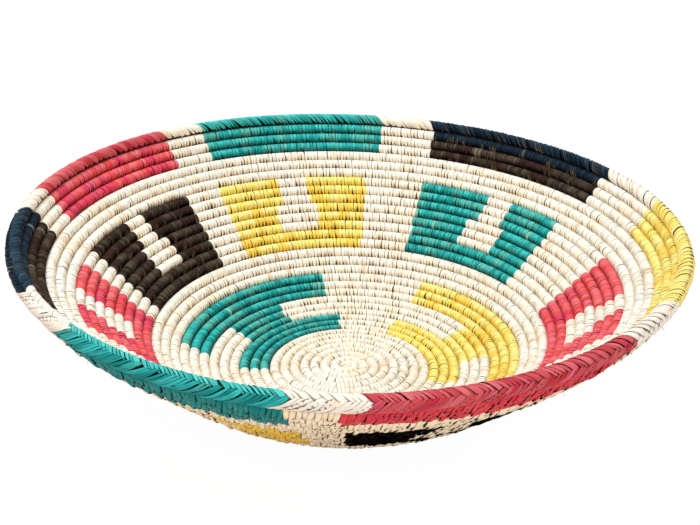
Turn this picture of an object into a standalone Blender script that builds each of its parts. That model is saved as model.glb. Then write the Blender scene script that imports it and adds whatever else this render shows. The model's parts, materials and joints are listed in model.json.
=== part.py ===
"""Coiled basket bowl with block figures and a braided rim.

One bundle of grass winds outwards from a start knot in the floor, clockwise as
seen from above, and every row is sewn to the row inside it.  The rows are
counted along that spiral: row 12.25 is a quarter of a turn past the start of
row 12.  Where the sewing strands change colour, a new piece begins, so each
coloured figure and each natural stretch is its own solid of wrapped rows.

Angles round the bowl are in degrees, clockwise as seen from above, from the
place at the front where the coil ends.  +Y points to the back, +X to the
right, and the bowl stands on the plane z = 0.
"""
import math

import bmesh
import bpy
from mathutils import Vector

# Driving sizes of the coil, in metres
FLOOR_PITCH = 0.00632
WALL_PITCH = 0.00707
FIT_GAP = 0.0003

# Shape of the bowl's section, by row
KNEE_START_ROW = 7.86
KNEE_END_ROW = 19.70
RIM_TURN_START_ROW = 30.0
RIM_TURN_END_ROW = 34.0
WALL_SLOPE = math.radians(41.9)
RIM_SLOPE = math.radians(60.1)
PROFILE_ROWS = 37
PROFILE_STEPS_A_ROW = 20

# Section of one wrapped row, as shares of the row pitch
ROW_CREST_SHARE = 0.50
ROW_GROOVE_SHARE = 0.27
FOOT_CUT_SHARE = 0.10

# Unevenness of the handmade rim, in metres and degrees; it fades to nothing at the floor
RIM_TILT = 0.0066
RIM_TILT_HEADING = math.radians(129.7)
RIM_WAVE = 0.0016
RIM_WAVE_HEADING = math.radians(-19.2)
RIM_OVAL = 0.0033
RIM_OVAL_HEADING = math.radians(96.6)

# Rows of each zone, from the floor's middle to the rim
INNER_FIRST_ROW = 8
INNER_GROUP_ROWS = 3
LOWER_FIRST_ROW = INNER_FIRST_ROW + 3 * INNER_GROUP_ROWS
FIGURE_FIRST_ROW = 20
UPPER_FIRST_ROW = 28
BAND_FIRST_ROW = 31
RIM_ROW = 34
FULL_ROW_COUNT = 2
WIDE_NOTCH_COUNT = 3

# Stations round the bowl: every solid bends at these angles, so neighbours fit all round
STATIONS_A_TURN = 24
STATION_STEP = 360.0 / STATIONS_A_TURN
SHORTEST_STEP_SHARE = 0.02
COIL_END_HEADING = 266.0

# The last rows close up before the coil ends, so that the rim comes out level
CLOSING_START = 285.0

# Start knot in the middle of the floor
KNOT_RADIUS = 0.0024
KNOT_TOP_EDGE = 0.0006
KNOT_SIDES = 12
KNOT_EDGE_SEGMENTS = 2
COIL_START_TURN = (KNOT_RADIUS + FIT_GAP) / FLOOR_PITCH + 0.5

# Braided rim: a wrapped last row under a folded braid
BRAID_PROUD = 0.00096
BRAID_RADIUS = WALL_PITCH / 2 + BRAID_PROUD
BRAID_THICKNESS = 0.0013
BRAID_LEG_ANGLE = math.asin((WALL_PITCH / 2 - FIT_GAP) / BRAID_RADIUS)
BRAID_ARC_POINTS = 7
BRAID_ARC_STEP = (math.pi + 2 * BRAID_LEG_ANGLE) / (BRAID_ARC_POINTS - 1)
RIM_COIL_RADIUS = (BRAID_RADIUS - BRAID_THICKNESS) * math.cos(BRAID_ARC_STEP / 2) - FIT_GAP
RIM_COIL_POINTS = 6

SMALLEST_COIL_GAP = 0.0004
NEXT_TURN_RUNS = range(STATIONS_A_TURN - 2, STATIONS_A_TURN + 3)
SHARP_ANGLE = math.radians(50.0)

# Figures of the inner ring: colour, then start and end of the three groups of rows
INNER_FIGURES = (
    ("red", (-39.0, 47.0), (-12.0, 20.0), (-39.0, 47.0)),
    ("teal", (80.0, 171.0), (111.2, 142.3), (85.0, 166.3)),
    ("yellow", (205.5, 287.5), (239.4, 266.0), (206.0, 289.0)),
)
# Figures of the wall: colour, outer ends, wide part of the notch, narrow part of the notch
WALL_FIGURES = (
    ("yellow", (4.0, 43.0), (18.0, 29.5), (20.2, 27.2)),
    ("red", (57.0, 86.7), (66.3, 75.7), (67.9, 74.7)),
    ("black", (93.3, 131.3), (107.9, 118.2), (109.7, 115.8)),
    ("yellow", (141.0, 180.8), (155.4, 167.1), (157.8, 165.2)),
    ("teal", (196.1, 237.0), (211.7, 223.7), (214.4, 221.8)),
    ("red", (258.8, 298.0), (274.0, 287.1), (276.9, 283.9)),
    ("black", (318.0, 356.0), (330.5, 342.5), (333.1, 340.0)),
)
# Blocks below the rim and in the braid above them: colour, ends below and ends in the braid
RIM_BLOCKS = (
    ("teal", (4.0, 41.0), (4.7, 40.3)),
    ("navy", (54.5, 87.6), (53.8, 84.9)),
    ("red", (95.9, 133.7), (93.7, 132.4)),
    ("teal", (142.6, 183.5), (141.3, 182.5)),
    ("navy", (195.7, 239.6), (194.2, 240.8)),
    ("yellow", (257.8, 300.8), (258.6, 300.8)),
    ("red", (314.0, 354.0), (314.0, 354.0)),
)

# Colour, roughness and metallic value of the sewing strands
STRANDS = {
    "natural": ((0.87, 0.76, 0.58), 0.62, 0.0),
    "straw": ((0.62, 0.47, 0.27), 0.80, 0.0),
    "red": ((0.72, 0.05, 0.07), 0.55, 0.0),
    "teal": ((0.02, 0.38, 0.34), 0.55, 0.0),
    "yellow": ((0.93, 0.62, 0.10), 0.55, 0.0),
    "black": ((0.035, 0.022, 0.020), 0.50, 0.0),
    "navy": ((0.025, 0.055, 0.10), 0.50, 0.0),
}


def ramp(value, start, end, low, high):
    """Value that runs from low at start to high at end, and stays level outside."""
    share = min(max((value - start) / (end - start), 0.0), 1.0)
    return low + (high - low) * share


def slope_at(row):
    """Slope of the wall at a row: level floor, rounded knee, straight wall, steeper rim."""
    wall = ramp(row, KNEE_START_ROW, KNEE_END_ROW, 0.0, WALL_SLOPE)
    return wall + ramp(row, RIM_TURN_START_ROW, RIM_TURN_END_ROW, 0.0, RIM_SLOPE - WALL_SLOPE)


def pitch_at(row):
    """Width of one row, measured up the wall."""
    return ramp(row, KNEE_START_ROW, KNEE_END_ROW, FLOOR_PITCH, WALL_PITCH)


FLOOR_COIL_HEIGHT = (ROW_CREST_SHARE - FOOT_CUT_SHARE) * FLOOR_PITCH


def trace_profile():
    """Walk up the bowl's section in short steps and list radius and height."""
    radius = 0.0
    height = FLOOR_COIL_HEIGHT
    points = [(radius, height)]
    for step in range(PROFILE_ROWS * PROFILE_STEPS_A_ROW):
        row = (step + 0.5) / PROFILE_STEPS_A_ROW
        length = pitch_at(row) / PROFILE_STEPS_A_ROW
        radius += length * math.cos(slope_at(row))
        height += length * math.sin(slope_at(row))
        points.append((radius, height))
    return points


PROFILE = trace_profile()


def profile_at(row):
    """Radius and height of the coil's centre line at a row, before the unevenness."""
    place = max(row, 0.0) * PROFILE_STEPS_A_ROW
    index = min(int(place), len(PROFILE) - 2)
    share = place - index
    low = PROFILE[index]
    high = PROFILE[index + 1]
    return low[0] + (high[0] - low[0]) * share, low[1] + (high[1] - low[1]) * share


RIM_RISE = profile_at(RIM_ROW + 0.5)[1] - FLOOR_COIL_HEIGHT


def heading_of(angle):
    """Ordinary heading, anticlockwise from +X in radians, of an angle round the bowl."""
    return math.radians(COIL_END_HEADING - angle)


def station_point(row, angle, lift):
    """Point of the bowl at a row and angle, lifted off the centre surface into the bowl."""
    radius, height = profile_at(row)
    heading = heading_of(angle)
    share = (height - FLOOR_COIL_HEIGHT) / RIM_RISE
    radius += share * RIM_OVAL * math.cos(2 * (heading - RIM_OVAL_HEADING))
    height += share * RIM_TILT * math.cos(heading - RIM_TILT_HEADING)
    height += share * RIM_WAVE * math.cos(2 * (heading - RIM_WAVE_HEADING))
    slope = slope_at(row)
    radius -= lift * math.sin(slope)
    height += lift * math.cos(slope)
    return Vector((radius * math.cos(heading), radius * math.sin(heading), max(height, 0.0)))


def closing_share(angle):
    """Width of a band row against its full width, where the last rows close up."""
    band_end = RIM_BLOCKS[-1][1][1]
    full_rows = RIM_ROW - BAND_FIRST_ROW
    fall = 1.0 / full_rows / (band_end - CLOSING_START)
    return 1.0 - max(angle - CLOSING_START, 0.0) * fall


def line_row(line, angle):
    """Row value of a line between rows at an angle; band lines draw together near the end."""
    turn = angle / 360.0 - 0.5
    if line <= BAND_FIRST_ROW:
        return line + turn
    return BAND_FIRST_ROW + turn + (line - BAND_FIRST_ROW) * closing_share(angle)


def bowl_point(line, angle, inset, lift_share):
    """Point on a line between rows, on the straight run between its two stations.

    inset moves it across the rows by a length, and lift_share lifts it by a
    share of the row pitch.
    """
    before = math.floor(angle / STATION_STEP) * STATION_STEP
    share = (angle - before) / STATION_STEP
    ends = []
    for station in (before, before + STATION_STEP):
        row = line_row(line, station)
        pitch = pitch_at(row)
        ends.append(station_point(row + inset / pitch, station, lift_share * pitch))
    return ends[0].lerp(ends[1], share)


def stations_between(start, end):
    """The two ends and every station strictly between them."""
    clearance = STATION_STEP * SHORTEST_STEP_SHARE
    first = math.floor((start + clearance) / STATION_STEP) + 1
    last = math.ceil((end - clearance) / STATION_STEP)
    return [start] + [index * STATION_STEP for index in range(first, last)] + [end]


def strip_faces(low, high):
    """Triangles between two lines of (angle, vertex) pairs that share their ends' angles."""
    faces = []
    i = 0
    j = 0
    while i < len(low) - 1 or j < len(high) - 1:
        low_next = low[i + 1][0] if i < len(low) - 1 else math.inf
        high_next = high[j + 1][0] if j < len(high) - 1 else math.inf
        if low_next == high_next:
            faces.append((low[i][1], low[i + 1][1], high[j + 1][1], high[j][1]))
            i += 1
            j += 1
        elif low_next < high_next:
            faces.append((low[i][1], low[i + 1][1], high[j][1]))
            i += 1
        else:
            faces.append((low[i][1], high[j + 1][1], high[j][1]))
            j += 1
    return faces


class RowPatch:
    """Solid of wrapped rows that are sewn together.

    rows gives each row its runs, as pairs of a start and an end angle.
    """

    def __init__(self, rows, inset):
        self.rows = rows
        self.inset = inset
        self.bm = bmesh.new()
        self.groove = {}
        self.line_stations = {}
        for line in range(min(rows), max(rows) + 2):
            angles = set()
            for row in (line - 1, line):
                for run in rows.get(row, ()):
                    angles.update(stations_between(*run))
            self.line_stations[line] = sorted(angles)

    def covers(self, row, start, end):
        """Whether a row runs over the whole of a short stretch."""
        return any(first <= start and end <= last for first, last in self.rows.get(row, ()))

    def groove_inset(self, line, angle):
        """Inset of a groove point: none between two rows, the gap at a free edge."""
        angles = self.line_stations[line]
        shift = 0
        for start, end in zip(angles, angles[1:]):
            if angle in (start, end):
                shift += self.covers(line, start, end) - self.covers(line - 1, start, end)
        return self.inset * max(min(shift, 1), -1)

    def groove_point(self, line, angle, side):
        """Vertex in the groove on one side, made once and shared by both rows."""
        key = (line, angle, side)
        if key not in self.groove:
            place = bowl_point(line, angle, self.groove_inset(line, angle), side * ROW_GROOVE_SHARE)
            self.groove[key] = self.bm.verts.new(place)
        return self.groove[key]

    def groove_run(self, line, start, end, side):
        """Groove points of a line from start to end."""
        angles = [angle for angle in self.line_stations[line] if start <= angle <= end]
        return [(angle, self.groove_point(line, angle, side)) for angle in angles]

    def add_run(self, row, start, end):
        """Inner and outer skin of one run of a row, and its two ends."""
        ends = {start: [], end: []}
        for side in (1, -1):
            crest = []
            for angle in stations_between(start, end):
                low = bowl_point(row, angle, 0.0, side * ROW_CREST_SHARE)
                high = bowl_point(row + 1, angle, 0.0, side * ROW_CREST_SHARE)
                crest.append((angle, self.bm.verts.new(low.lerp(high, 0.5))))
            below = self.groove_run(row, start, end, side)
            above = self.groove_run(row + 1, start, end, side)
            for face in strip_faces(below, crest) + strip_faces(crest, above):
                self.bm.faces.new(face if side > 0 else face[::-1])
            for index, angle in ((0, start), (-1, end)):
                run = [below[index][1], crest[index][1], above[index][1]]
                ends[angle] += run if side > 0 else run[::-1]
        self.bm.faces.new(ends[start])
        self.bm.faces.new(ends[end][::-1])

    def add_edges(self):
        """Walls along the free edges, where only one of two rows is there."""
        for line, angles in self.line_stations.items():
            for start, end in zip(angles, angles[1:]):
                above = self.covers(line, start, end)
                below = self.covers(line - 1, start, end)
                if above == below:
                    continue
                corners = [
                    self.groove_point(line, start, 1),
                    self.groove_point(line, end, 1),
                    self.groove_point(line, end, -1),
                    self.groove_point(line, start, -1),
                ]
                self.bm.faces.new(corners if below else corners[::-1])

    def finish(self, name):
        """Mesh of the whole patch, with its faces pointing out."""
        for row, runs in self.rows.items():
            for start, end in runs:
                self.add_run(row, start, end)
        self.add_edges()
        bmesh.ops.recalc_face_normals(self.bm, faces=self.bm.faces)
        mesh = bpy.data.meshes.new(name)
        self.bm.to_mesh(mesh)
        self.bm.free()
        return mesh


def clear_scene():
    """Remove every object of the open scene."""
    for old in list(bpy.data.objects):
        bpy.data.objects.remove(old, do_unlink=True)


def make_collection(name):
    """New collection under the scene's own."""
    collection = bpy.data.collections.new(name)
    bpy.context.scene.collection.children.link(collection)
    return collection


def strand_material(node, strand):
    """Principled material of one sub-part, in the colour of its sewing strands."""
    colour, roughness, metallic = STRANDS[strand]
    material = bpy.data.materials.new(node)
    material.use_nodes = True
    shader = material.node_tree.nodes["Principled BSDF"]
    shader.inputs["Base Color"].default_value = (*colour, 1.0)
    shader.inputs["Roughness"].default_value = roughness
    shader.inputs["Metallic"].default_value = metallic
    return material


class Maker:
    """Puts finished sub-parts into the bowl's collection, under its frame."""

    def __init__(self):
        self.parts = make_collection("basket_bowl")
        self.guides = make_collection("basket_bowl_guides")
        self.root = bpy.data.objects.new("bowl_frame", None)
        self.parts.objects.link(self.root)

    def place(self, node, data, strand):
        """Link a mesh or curve as one named sub-part."""
        part = bpy.data.objects.new(node, data)
        data.materials.append(strand_material(node, strand))
        part.parent = self.root
        self.parts.objects.link(part)
        return part

    def patch(self, node, rows, strand, inset):
        """One solid of sewn rows, shaded smooth across its shallow bends."""
        mesh = RowPatch(rows, inset).finish(node)
        mesh.shade_smooth()
        mesh.set_sharp_from_angle(angle=SHARP_ANGLE)
        return self.place(node, mesh, strand)

    def profile(self, name, corners):
        """Flat closed outline that a coil is swept with."""
        curve = bpy.data.curves.new(name, "CURVE")
        curve.dimensions = "2D"
        spline = curve.splines.new("POLY")
        spline.points.add(len(corners) - 1)
        for point, (across, up) in zip(spline.points, reversed(corners)):
            point.co = (across, up, 0.0, 1.0)
        spline.use_cyclic_u = True
        guide = bpy.data.objects.new(name, curve)
        guide.hide_render = True
        guide.display_type = "WIRE"
        self.guides.objects.link(guide)
        return guide

    def sweep(self, node, path, profile, strand):
        """Sweep an outline along (point, size share, tilt) triples."""
        curve = bpy.data.curves.new(node, "CURVE")
        curve.dimensions = "3D"
        curve.twist_mode = "Z_UP"
        curve.bevel_mode = "OBJECT"
        curve.bevel_object = profile
        curve.use_fill_caps = True
        spline = curve.splines.new("POLY")
        spline.points.add(len(path) - 1)
        for point, (place, size, tilt) in zip(spline.points, path):
            point.co = (*place, 1.0)
            point.radius = size
            point.tilt = tilt
        return self.place(node, curve, strand)


def coil_path(first_turn, last_turn):
    """Centre line of the coil between two turns, with its size share and tilt."""
    path = []
    for angle in stations_between(first_turn * 360.0, last_turn * 360.0):
        turn = math.floor(angle / 360.0)
        round_angle = angle - turn * 360.0
        low = bowl_point(turn, round_angle, 0.0, 0.0)
        high = bowl_point(turn + 1, round_angle, 0.0, 0.0)
        row = angle / 360.0
        path.append((low.lerp(high, 0.5), pitch_at(row) / WALL_PITCH, slope_at(row)))
    return path


def segment_gap(a, b, c, d):
    """Least distance between two straight runs, a to b and c to d."""
    best = math.inf
    for start, end, other_start, other_end in ((a, b, c, d), (c, d, a, b)):
        run = other_end - other_start
        for point in (start, end):
            share = (point - other_start).dot(run) / run.length_squared
            nearest = other_start + run * min(max(share, 0.0), 1.0)
            best = min(best, (point - nearest).length)
    return best


def report_self_gap(node, path, width):
    """Measure a coil's least gap to its own next turn on its points, and print it."""
    best = math.inf
    points = [place for place, size, tilt in path]
    sizes = [size for place, size, tilt in path]
    for index in range(len(points) - 1):
        for ahead in NEXT_TURN_RUNS:
            other = index + ahead
            if other < len(points) - 1:
                run = segment_gap(points[index], points[index + 1], points[other], points[other + 1])
                best = min(best, run - width * (sizes[index] + sizes[other]))
    print(f"{node}: least gap to itself {best * 1000:.2f} mm")
    if best < SMALLEST_COIL_GAP:
        print(f"{node}: the gap is under {SMALLEST_COIL_GAP * 1000:.2f} mm")


def build_start_knot(maker):
    """Small domed knot that the coil starts round."""
    height = FLOOR_COIL_HEIGHT + ROW_CREST_SHARE * FLOOR_PITCH
    bpy.ops.mesh.primitive_cylinder_add(vertices=KNOT_SIDES, radius=KNOT_RADIUS, depth=height)
    made = bpy.context.object
    mesh = made.data
    mesh.name = "start_knot"
    bpy.data.objects.remove(made)
    for vertex in mesh.vertices:
        vertex.co.z += height / 2
    mesh.shade_smooth()
    mesh.set_sharp_from_angle(angle=SHARP_ANGLE)
    knot = maker.place("start_knot", mesh, "natural")
    top = knot.vertex_groups.new(name="top_edge")
    top.add([v.index for v in mesh.vertices if v.co.z > height / 2], 1.0, "REPLACE")
    edge = knot.modifiers.new("rounded_top", "BEVEL")
    edge.width = KNOT_TOP_EDGE
    edge.segments = KNOT_EDGE_SEGMENTS
    edge.limit_method = "VGROUP"
    edge.vertex_group = top.name


def build_coils(maker):
    """The three natural coils, each one unbroken tube."""
    half = WALL_PITCH / 2 - FIT_GAP * WALL_PITCH / FLOOR_PITCH
    crest = ROW_CREST_SHARE * WALL_PITCH
    groove = ROW_GROOVE_SHARE * WALL_PITCH
    foot = (ROW_CREST_SHARE - FOOT_CUT_SHARE) * WALL_PITCH
    foot_half = half * FOOT_CUT_SHARE / (ROW_CREST_SHARE - ROW_GROOVE_SHARE)
    upper_side = [(half, groove), (0.0, crest), (-half, groove), (-half, -groove)]
    wall_outline = maker.profile("wall_coil_outline", upper_side + [(0.0, -crest), (half, -groove)])
    foot_side = [(-foot_half, -foot), (foot_half, -foot), (half, -groove)]
    floor_outline = maker.profile("floor_coil_outline", upper_side + foot_side)
    inner_seam = INNER_FIGURES[0][1][0] / 360.0
    wall_seam = WALL_FIGURES[-1][1][1] / 360.0 - 1
    band_seam = RIM_BLOCKS[-1][1][1] / 360.0 - 1
    coils = (
        ("base_coil", COIL_START_TURN, INNER_FIRST_ROW + inner_seam, floor_outline),
        ("lower_coil", LOWER_FIRST_ROW + inner_seam, FIGURE_FIRST_ROW + wall_seam, wall_outline),
        ("upper_coil", UPPER_FIRST_ROW + wall_seam, BAND_FIRST_ROW + band_seam, wall_outline),
    )
    for node, first, last, outline in coils:
        trim_first = FIT_GAP / profile_at(first)[0] / math.tau
        trim_last = FIT_GAP / profile_at(last)[0] / math.tau
        path = coil_path(first + trim_first, last - trim_last)
        maker.sweep(node, path, outline, "natural")
        report_self_gap(node, path, half)


def trimmed(rows):
    """The same rows with both ends drawn in by the fit gap."""
    radius = profile_at(min(rows))[0]
    trim = math.degrees(FIT_GAP / radius)
    return {row: [(start + trim, end - trim) for start, end in runs] for row, runs in rows.items()}


def inner_rows(figure):
    """Rows of an inner figure: three groups, long, short and long."""
    rows = {}
    for group, ends in enumerate(figure[1:]):
        for index in range(INNER_GROUP_ROWS):
            rows[INNER_FIRST_ROW + group * INNER_GROUP_ROWS + index] = [ends]
    return rows


def rows_between(left, right, seam):
    """Natural rows from the end of one figure to the start of the next.

    Past the seam the coil has come round once, so each row there is counted
    one lower.
    """
    rows = {}
    past_seam = right[min(right)][0][0] < left[min(left)][0][0]
    if not past_seam:
        return {row: [(left[row][0][1], right[row][0][0])] for row in left}
    for row in range(min(left) - 1, max(left) + 1):
        start = left[row][0][1] if row in left else seam
        end = right[row + 1][0][0] + 360.0 if row + 1 in right else seam
        if end > start:
            rows[row] = [(start, end)]
    return rows


def build_inner_ring(maker):
    """Three figures of the floor's edge and the natural stretches between them."""
    figures = [inner_rows(figure) for figure in INNER_FIGURES]
    seam = INNER_FIGURES[0][1][0] + 360.0
    for index, rows in enumerate(figures):
        colour = INNER_FIGURES[index][0]
        maker.patch(f"inner_figure_{index + 1}_{colour}", rows, colour, 0.0)
        gap_rows = rows_between(rows, figures[(index + 1) % len(figures)], seam)
        maker.patch(f"inner_ground_{index + 1}", trimmed(gap_rows), "natural", FIT_GAP)


def build_wall_ring(maker):
    """Seven stepped figures of the wall, their notches, and the stretches between them."""
    solid_end = FIGURE_FIRST_ROW + FULL_ROW_COUNT
    wide_end = solid_end + WIDE_NOTCH_COUNT
    before = WALL_FIGURES[-1][1][1] - 360.0
    for index, (colour, ends, wide, narrow) in enumerate(WALL_FIGURES):
        rows = {row: [ends] for row in range(FIGURE_FIRST_ROW, solid_end)}
        notch = {row: [wide] for row in range(solid_end, wide_end)}
        notch.update({row: [narrow] for row in range(wide_end, UPPER_FIRST_ROW)})
        for row, [gap] in notch.items():
            rows[row] = [(ends[0], gap[0]), (gap[1], ends[1])]
        maker.patch(f"figure_{index + 1}_{colour}", rows, colour, 0.0)
        maker.patch(f"figure_{index + 1}_notch", trimmed(notch), "natural", FIT_GAP)
        ground = {row: [(before, ends[0])] for row in range(FIGURE_FIRST_ROW, UPPER_FIRST_ROW)}
        maker.patch(f"ground_{index + 1}", trimmed(ground), "natural", FIT_GAP)
        before = ends[1]


def build_band(maker):
    """Seven blocks of the rim band and the natural stretches between them."""
    before = RIM_BLOCKS[-1][1][1] - 360.0
    band_rows = range(BAND_FIRST_ROW, RIM_ROW)
    for index, (colour, ends, _) in enumerate(RIM_BLOCKS):
        block = {row: [ends] for row in band_rows}
        maker.patch(f"rim_block_{index + 1}_{colour}", block, colour, 0.0)
        ground = {row: [(before, ends[0])] for row in band_rows}
        maker.patch(f"rim_ground_{index + 1}", trimmed(ground), "natural", FIT_GAP)
        before = ends[1]


def rim_path(start, end):
    """Centre line of the last row between two angles, with its tilt."""
    path = []
    for angle in stations_between(start, end):
        row = line_row(RIM_ROW, angle) + 0.5
        place = bowl_point(RIM_ROW, angle, pitch_at(row) / 2, 0.0)
        path.append((place, 1.0, slope_at(row)))
    return path


def braid_corners():
    """Outline of the braid: a folded band, open towards the rows below."""
    corners = []
    for radius in (BRAID_RADIUS, BRAID_RADIUS - BRAID_THICKNESS):
        arc = []
        for index in range(BRAID_ARC_POINTS):
            turn = BRAID_ARC_STEP * index - BRAID_LEG_ANGLE
            arc.append((-radius * math.sin(turn), radius * math.cos(turn)))
        corners += arc if not corners else arc[::-1]
    return corners


def build_rim(maker):
    """Last row of the coil and the braid that is folded over it."""
    seam = RIM_BLOCKS[-1][1][1]
    trim = math.degrees(FIT_GAP / profile_at(RIM_ROW)[0])
    ring = []
    for index in range(RIM_COIL_POINTS):
        turn = math.tau * index / RIM_COIL_POINTS
        ring.append((RIM_COIL_RADIUS * math.cos(turn), RIM_COIL_RADIUS * math.sin(turn)))
    coil_outline = maker.profile("rim_coil_outline", ring)
    maker.sweep("rim_coil", rim_path(seam - 360.0 + trim, seam - trim), coil_outline, "straw")
    braid_outline = maker.profile("braid_outline", braid_corners())
    before = seam - 360.0
    for index, (colour, _, ends) in enumerate(RIM_BLOCKS):
        dyed = rim_path(ends[0] + trim, ends[1] - trim)
        maker.sweep(f"braid_{index + 1}_{colour}", dyed, braid_outline, colour)
        plain = rim_path(before, ends[0])
        maker.sweep(f"braid_{index + 1}_natural", plain, braid_outline, "natural")
        before = ends[1]


def main():
    """Build the whole bowl."""
    clear_scene()
    maker = Maker()
    build_start_knot(maker)
    build_coils(maker)
    build_inner_ring(maker)
    build_wall_ring(maker)
    build_band(maker)
    build_rim(maker)


main()
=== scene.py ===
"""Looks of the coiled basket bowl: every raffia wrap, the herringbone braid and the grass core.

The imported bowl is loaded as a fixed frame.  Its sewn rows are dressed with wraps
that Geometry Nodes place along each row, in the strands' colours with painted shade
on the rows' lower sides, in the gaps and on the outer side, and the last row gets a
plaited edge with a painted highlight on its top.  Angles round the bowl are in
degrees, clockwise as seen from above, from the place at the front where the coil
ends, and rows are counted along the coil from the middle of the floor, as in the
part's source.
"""

import json
import logging
import math
import random
from collections.abc import Callable
from dataclasses import asdict, dataclass, field, fields, replace
from enum import Enum
from functools import cached_property

import bpy
from mathutils import Matrix, Vector

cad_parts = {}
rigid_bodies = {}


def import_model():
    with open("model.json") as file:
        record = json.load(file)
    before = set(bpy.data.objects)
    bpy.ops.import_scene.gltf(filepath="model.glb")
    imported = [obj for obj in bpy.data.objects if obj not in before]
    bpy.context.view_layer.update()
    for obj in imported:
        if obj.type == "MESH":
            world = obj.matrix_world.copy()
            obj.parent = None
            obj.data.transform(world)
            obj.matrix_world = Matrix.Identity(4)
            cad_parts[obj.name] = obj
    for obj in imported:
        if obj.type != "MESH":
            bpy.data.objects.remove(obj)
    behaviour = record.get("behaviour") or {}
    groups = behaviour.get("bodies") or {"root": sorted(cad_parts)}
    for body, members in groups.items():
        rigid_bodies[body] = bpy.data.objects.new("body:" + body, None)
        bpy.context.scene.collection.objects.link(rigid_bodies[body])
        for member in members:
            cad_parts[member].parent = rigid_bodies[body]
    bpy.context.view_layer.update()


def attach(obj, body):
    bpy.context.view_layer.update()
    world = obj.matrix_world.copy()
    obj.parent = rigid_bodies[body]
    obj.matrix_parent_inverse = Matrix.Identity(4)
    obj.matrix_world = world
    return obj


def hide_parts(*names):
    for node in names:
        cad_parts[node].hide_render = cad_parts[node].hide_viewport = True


LOG = logging.getLogger("basket_bowl")
BODY = "root"
MM = 0.001
ROUND = 360.0
WHITE = (1.0, 1.0, 1.0, 1.0)
GRAINS = (0.0, 60.0)

Pair = tuple[float, float]
Triple = tuple[float, float, float]
Window = tuple[float, float, float, float]
Value = "float | Wire"


class Dye(Enum):
    """Colours that the raffia strands come in."""

    NATURAL = "natural"
    RED = "red"
    TEAL = "teal"
    YELLOW = "yellow"
    BLACK = "black"
    NAVY = "navy"

    @property
    def slot(self) -> str:
        """The record's material slot of this strand."""
        return f"{self.value}_strand"


def ramp(value: float, start: float, end: float, low: float, high: float) -> float:
    """Value that runs from low at start to high at end and stays level outside."""
    share = min(max((value - start) / (end - start), 0.0), 1.0)
    return low + (high - low) * share


def srgb(*screen: int) -> Triple:
    """Linear colour of a screen's red, green and blue from 0 to 255."""
    shares = [part / 255.0 for part in screen]
    return tuple(s / 12.92 if s <= 0.04045 else ((s + 0.055) / 1.055) ** 2.4 for s in shares)


def stand(name: str, data: bpy.types.ID) -> bpy.types.Object:
    """New object in the scene."""
    made = bpy.data.objects.new(name, data)
    bpy.context.scene.collection.objects.link(made)
    return made


@dataclass(frozen=True)
class RowPoint:
    """One point of a row's centre line, with the frame that a wrap takes there."""

    place: Vector
    lift: Vector
    along: Vector
    breadth: float
    depth: float
    flare: float

    def turned(self, degrees: float) -> "RowPoint":
        """The same point with its lift leaning towards the inner rows by some degrees."""
        lean = Matrix.Rotation(math.radians(degrees), 3, self.along)
        return replace(self, lift=lean @ self.lift)


@dataclass(frozen=True)
class Span:
    """Stretch of one row between two angles; aside moves it outwards and sink down, in rows."""

    row: int
    start: float
    end: float
    aside: float = 0.0
    sink: float = 0.0


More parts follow.
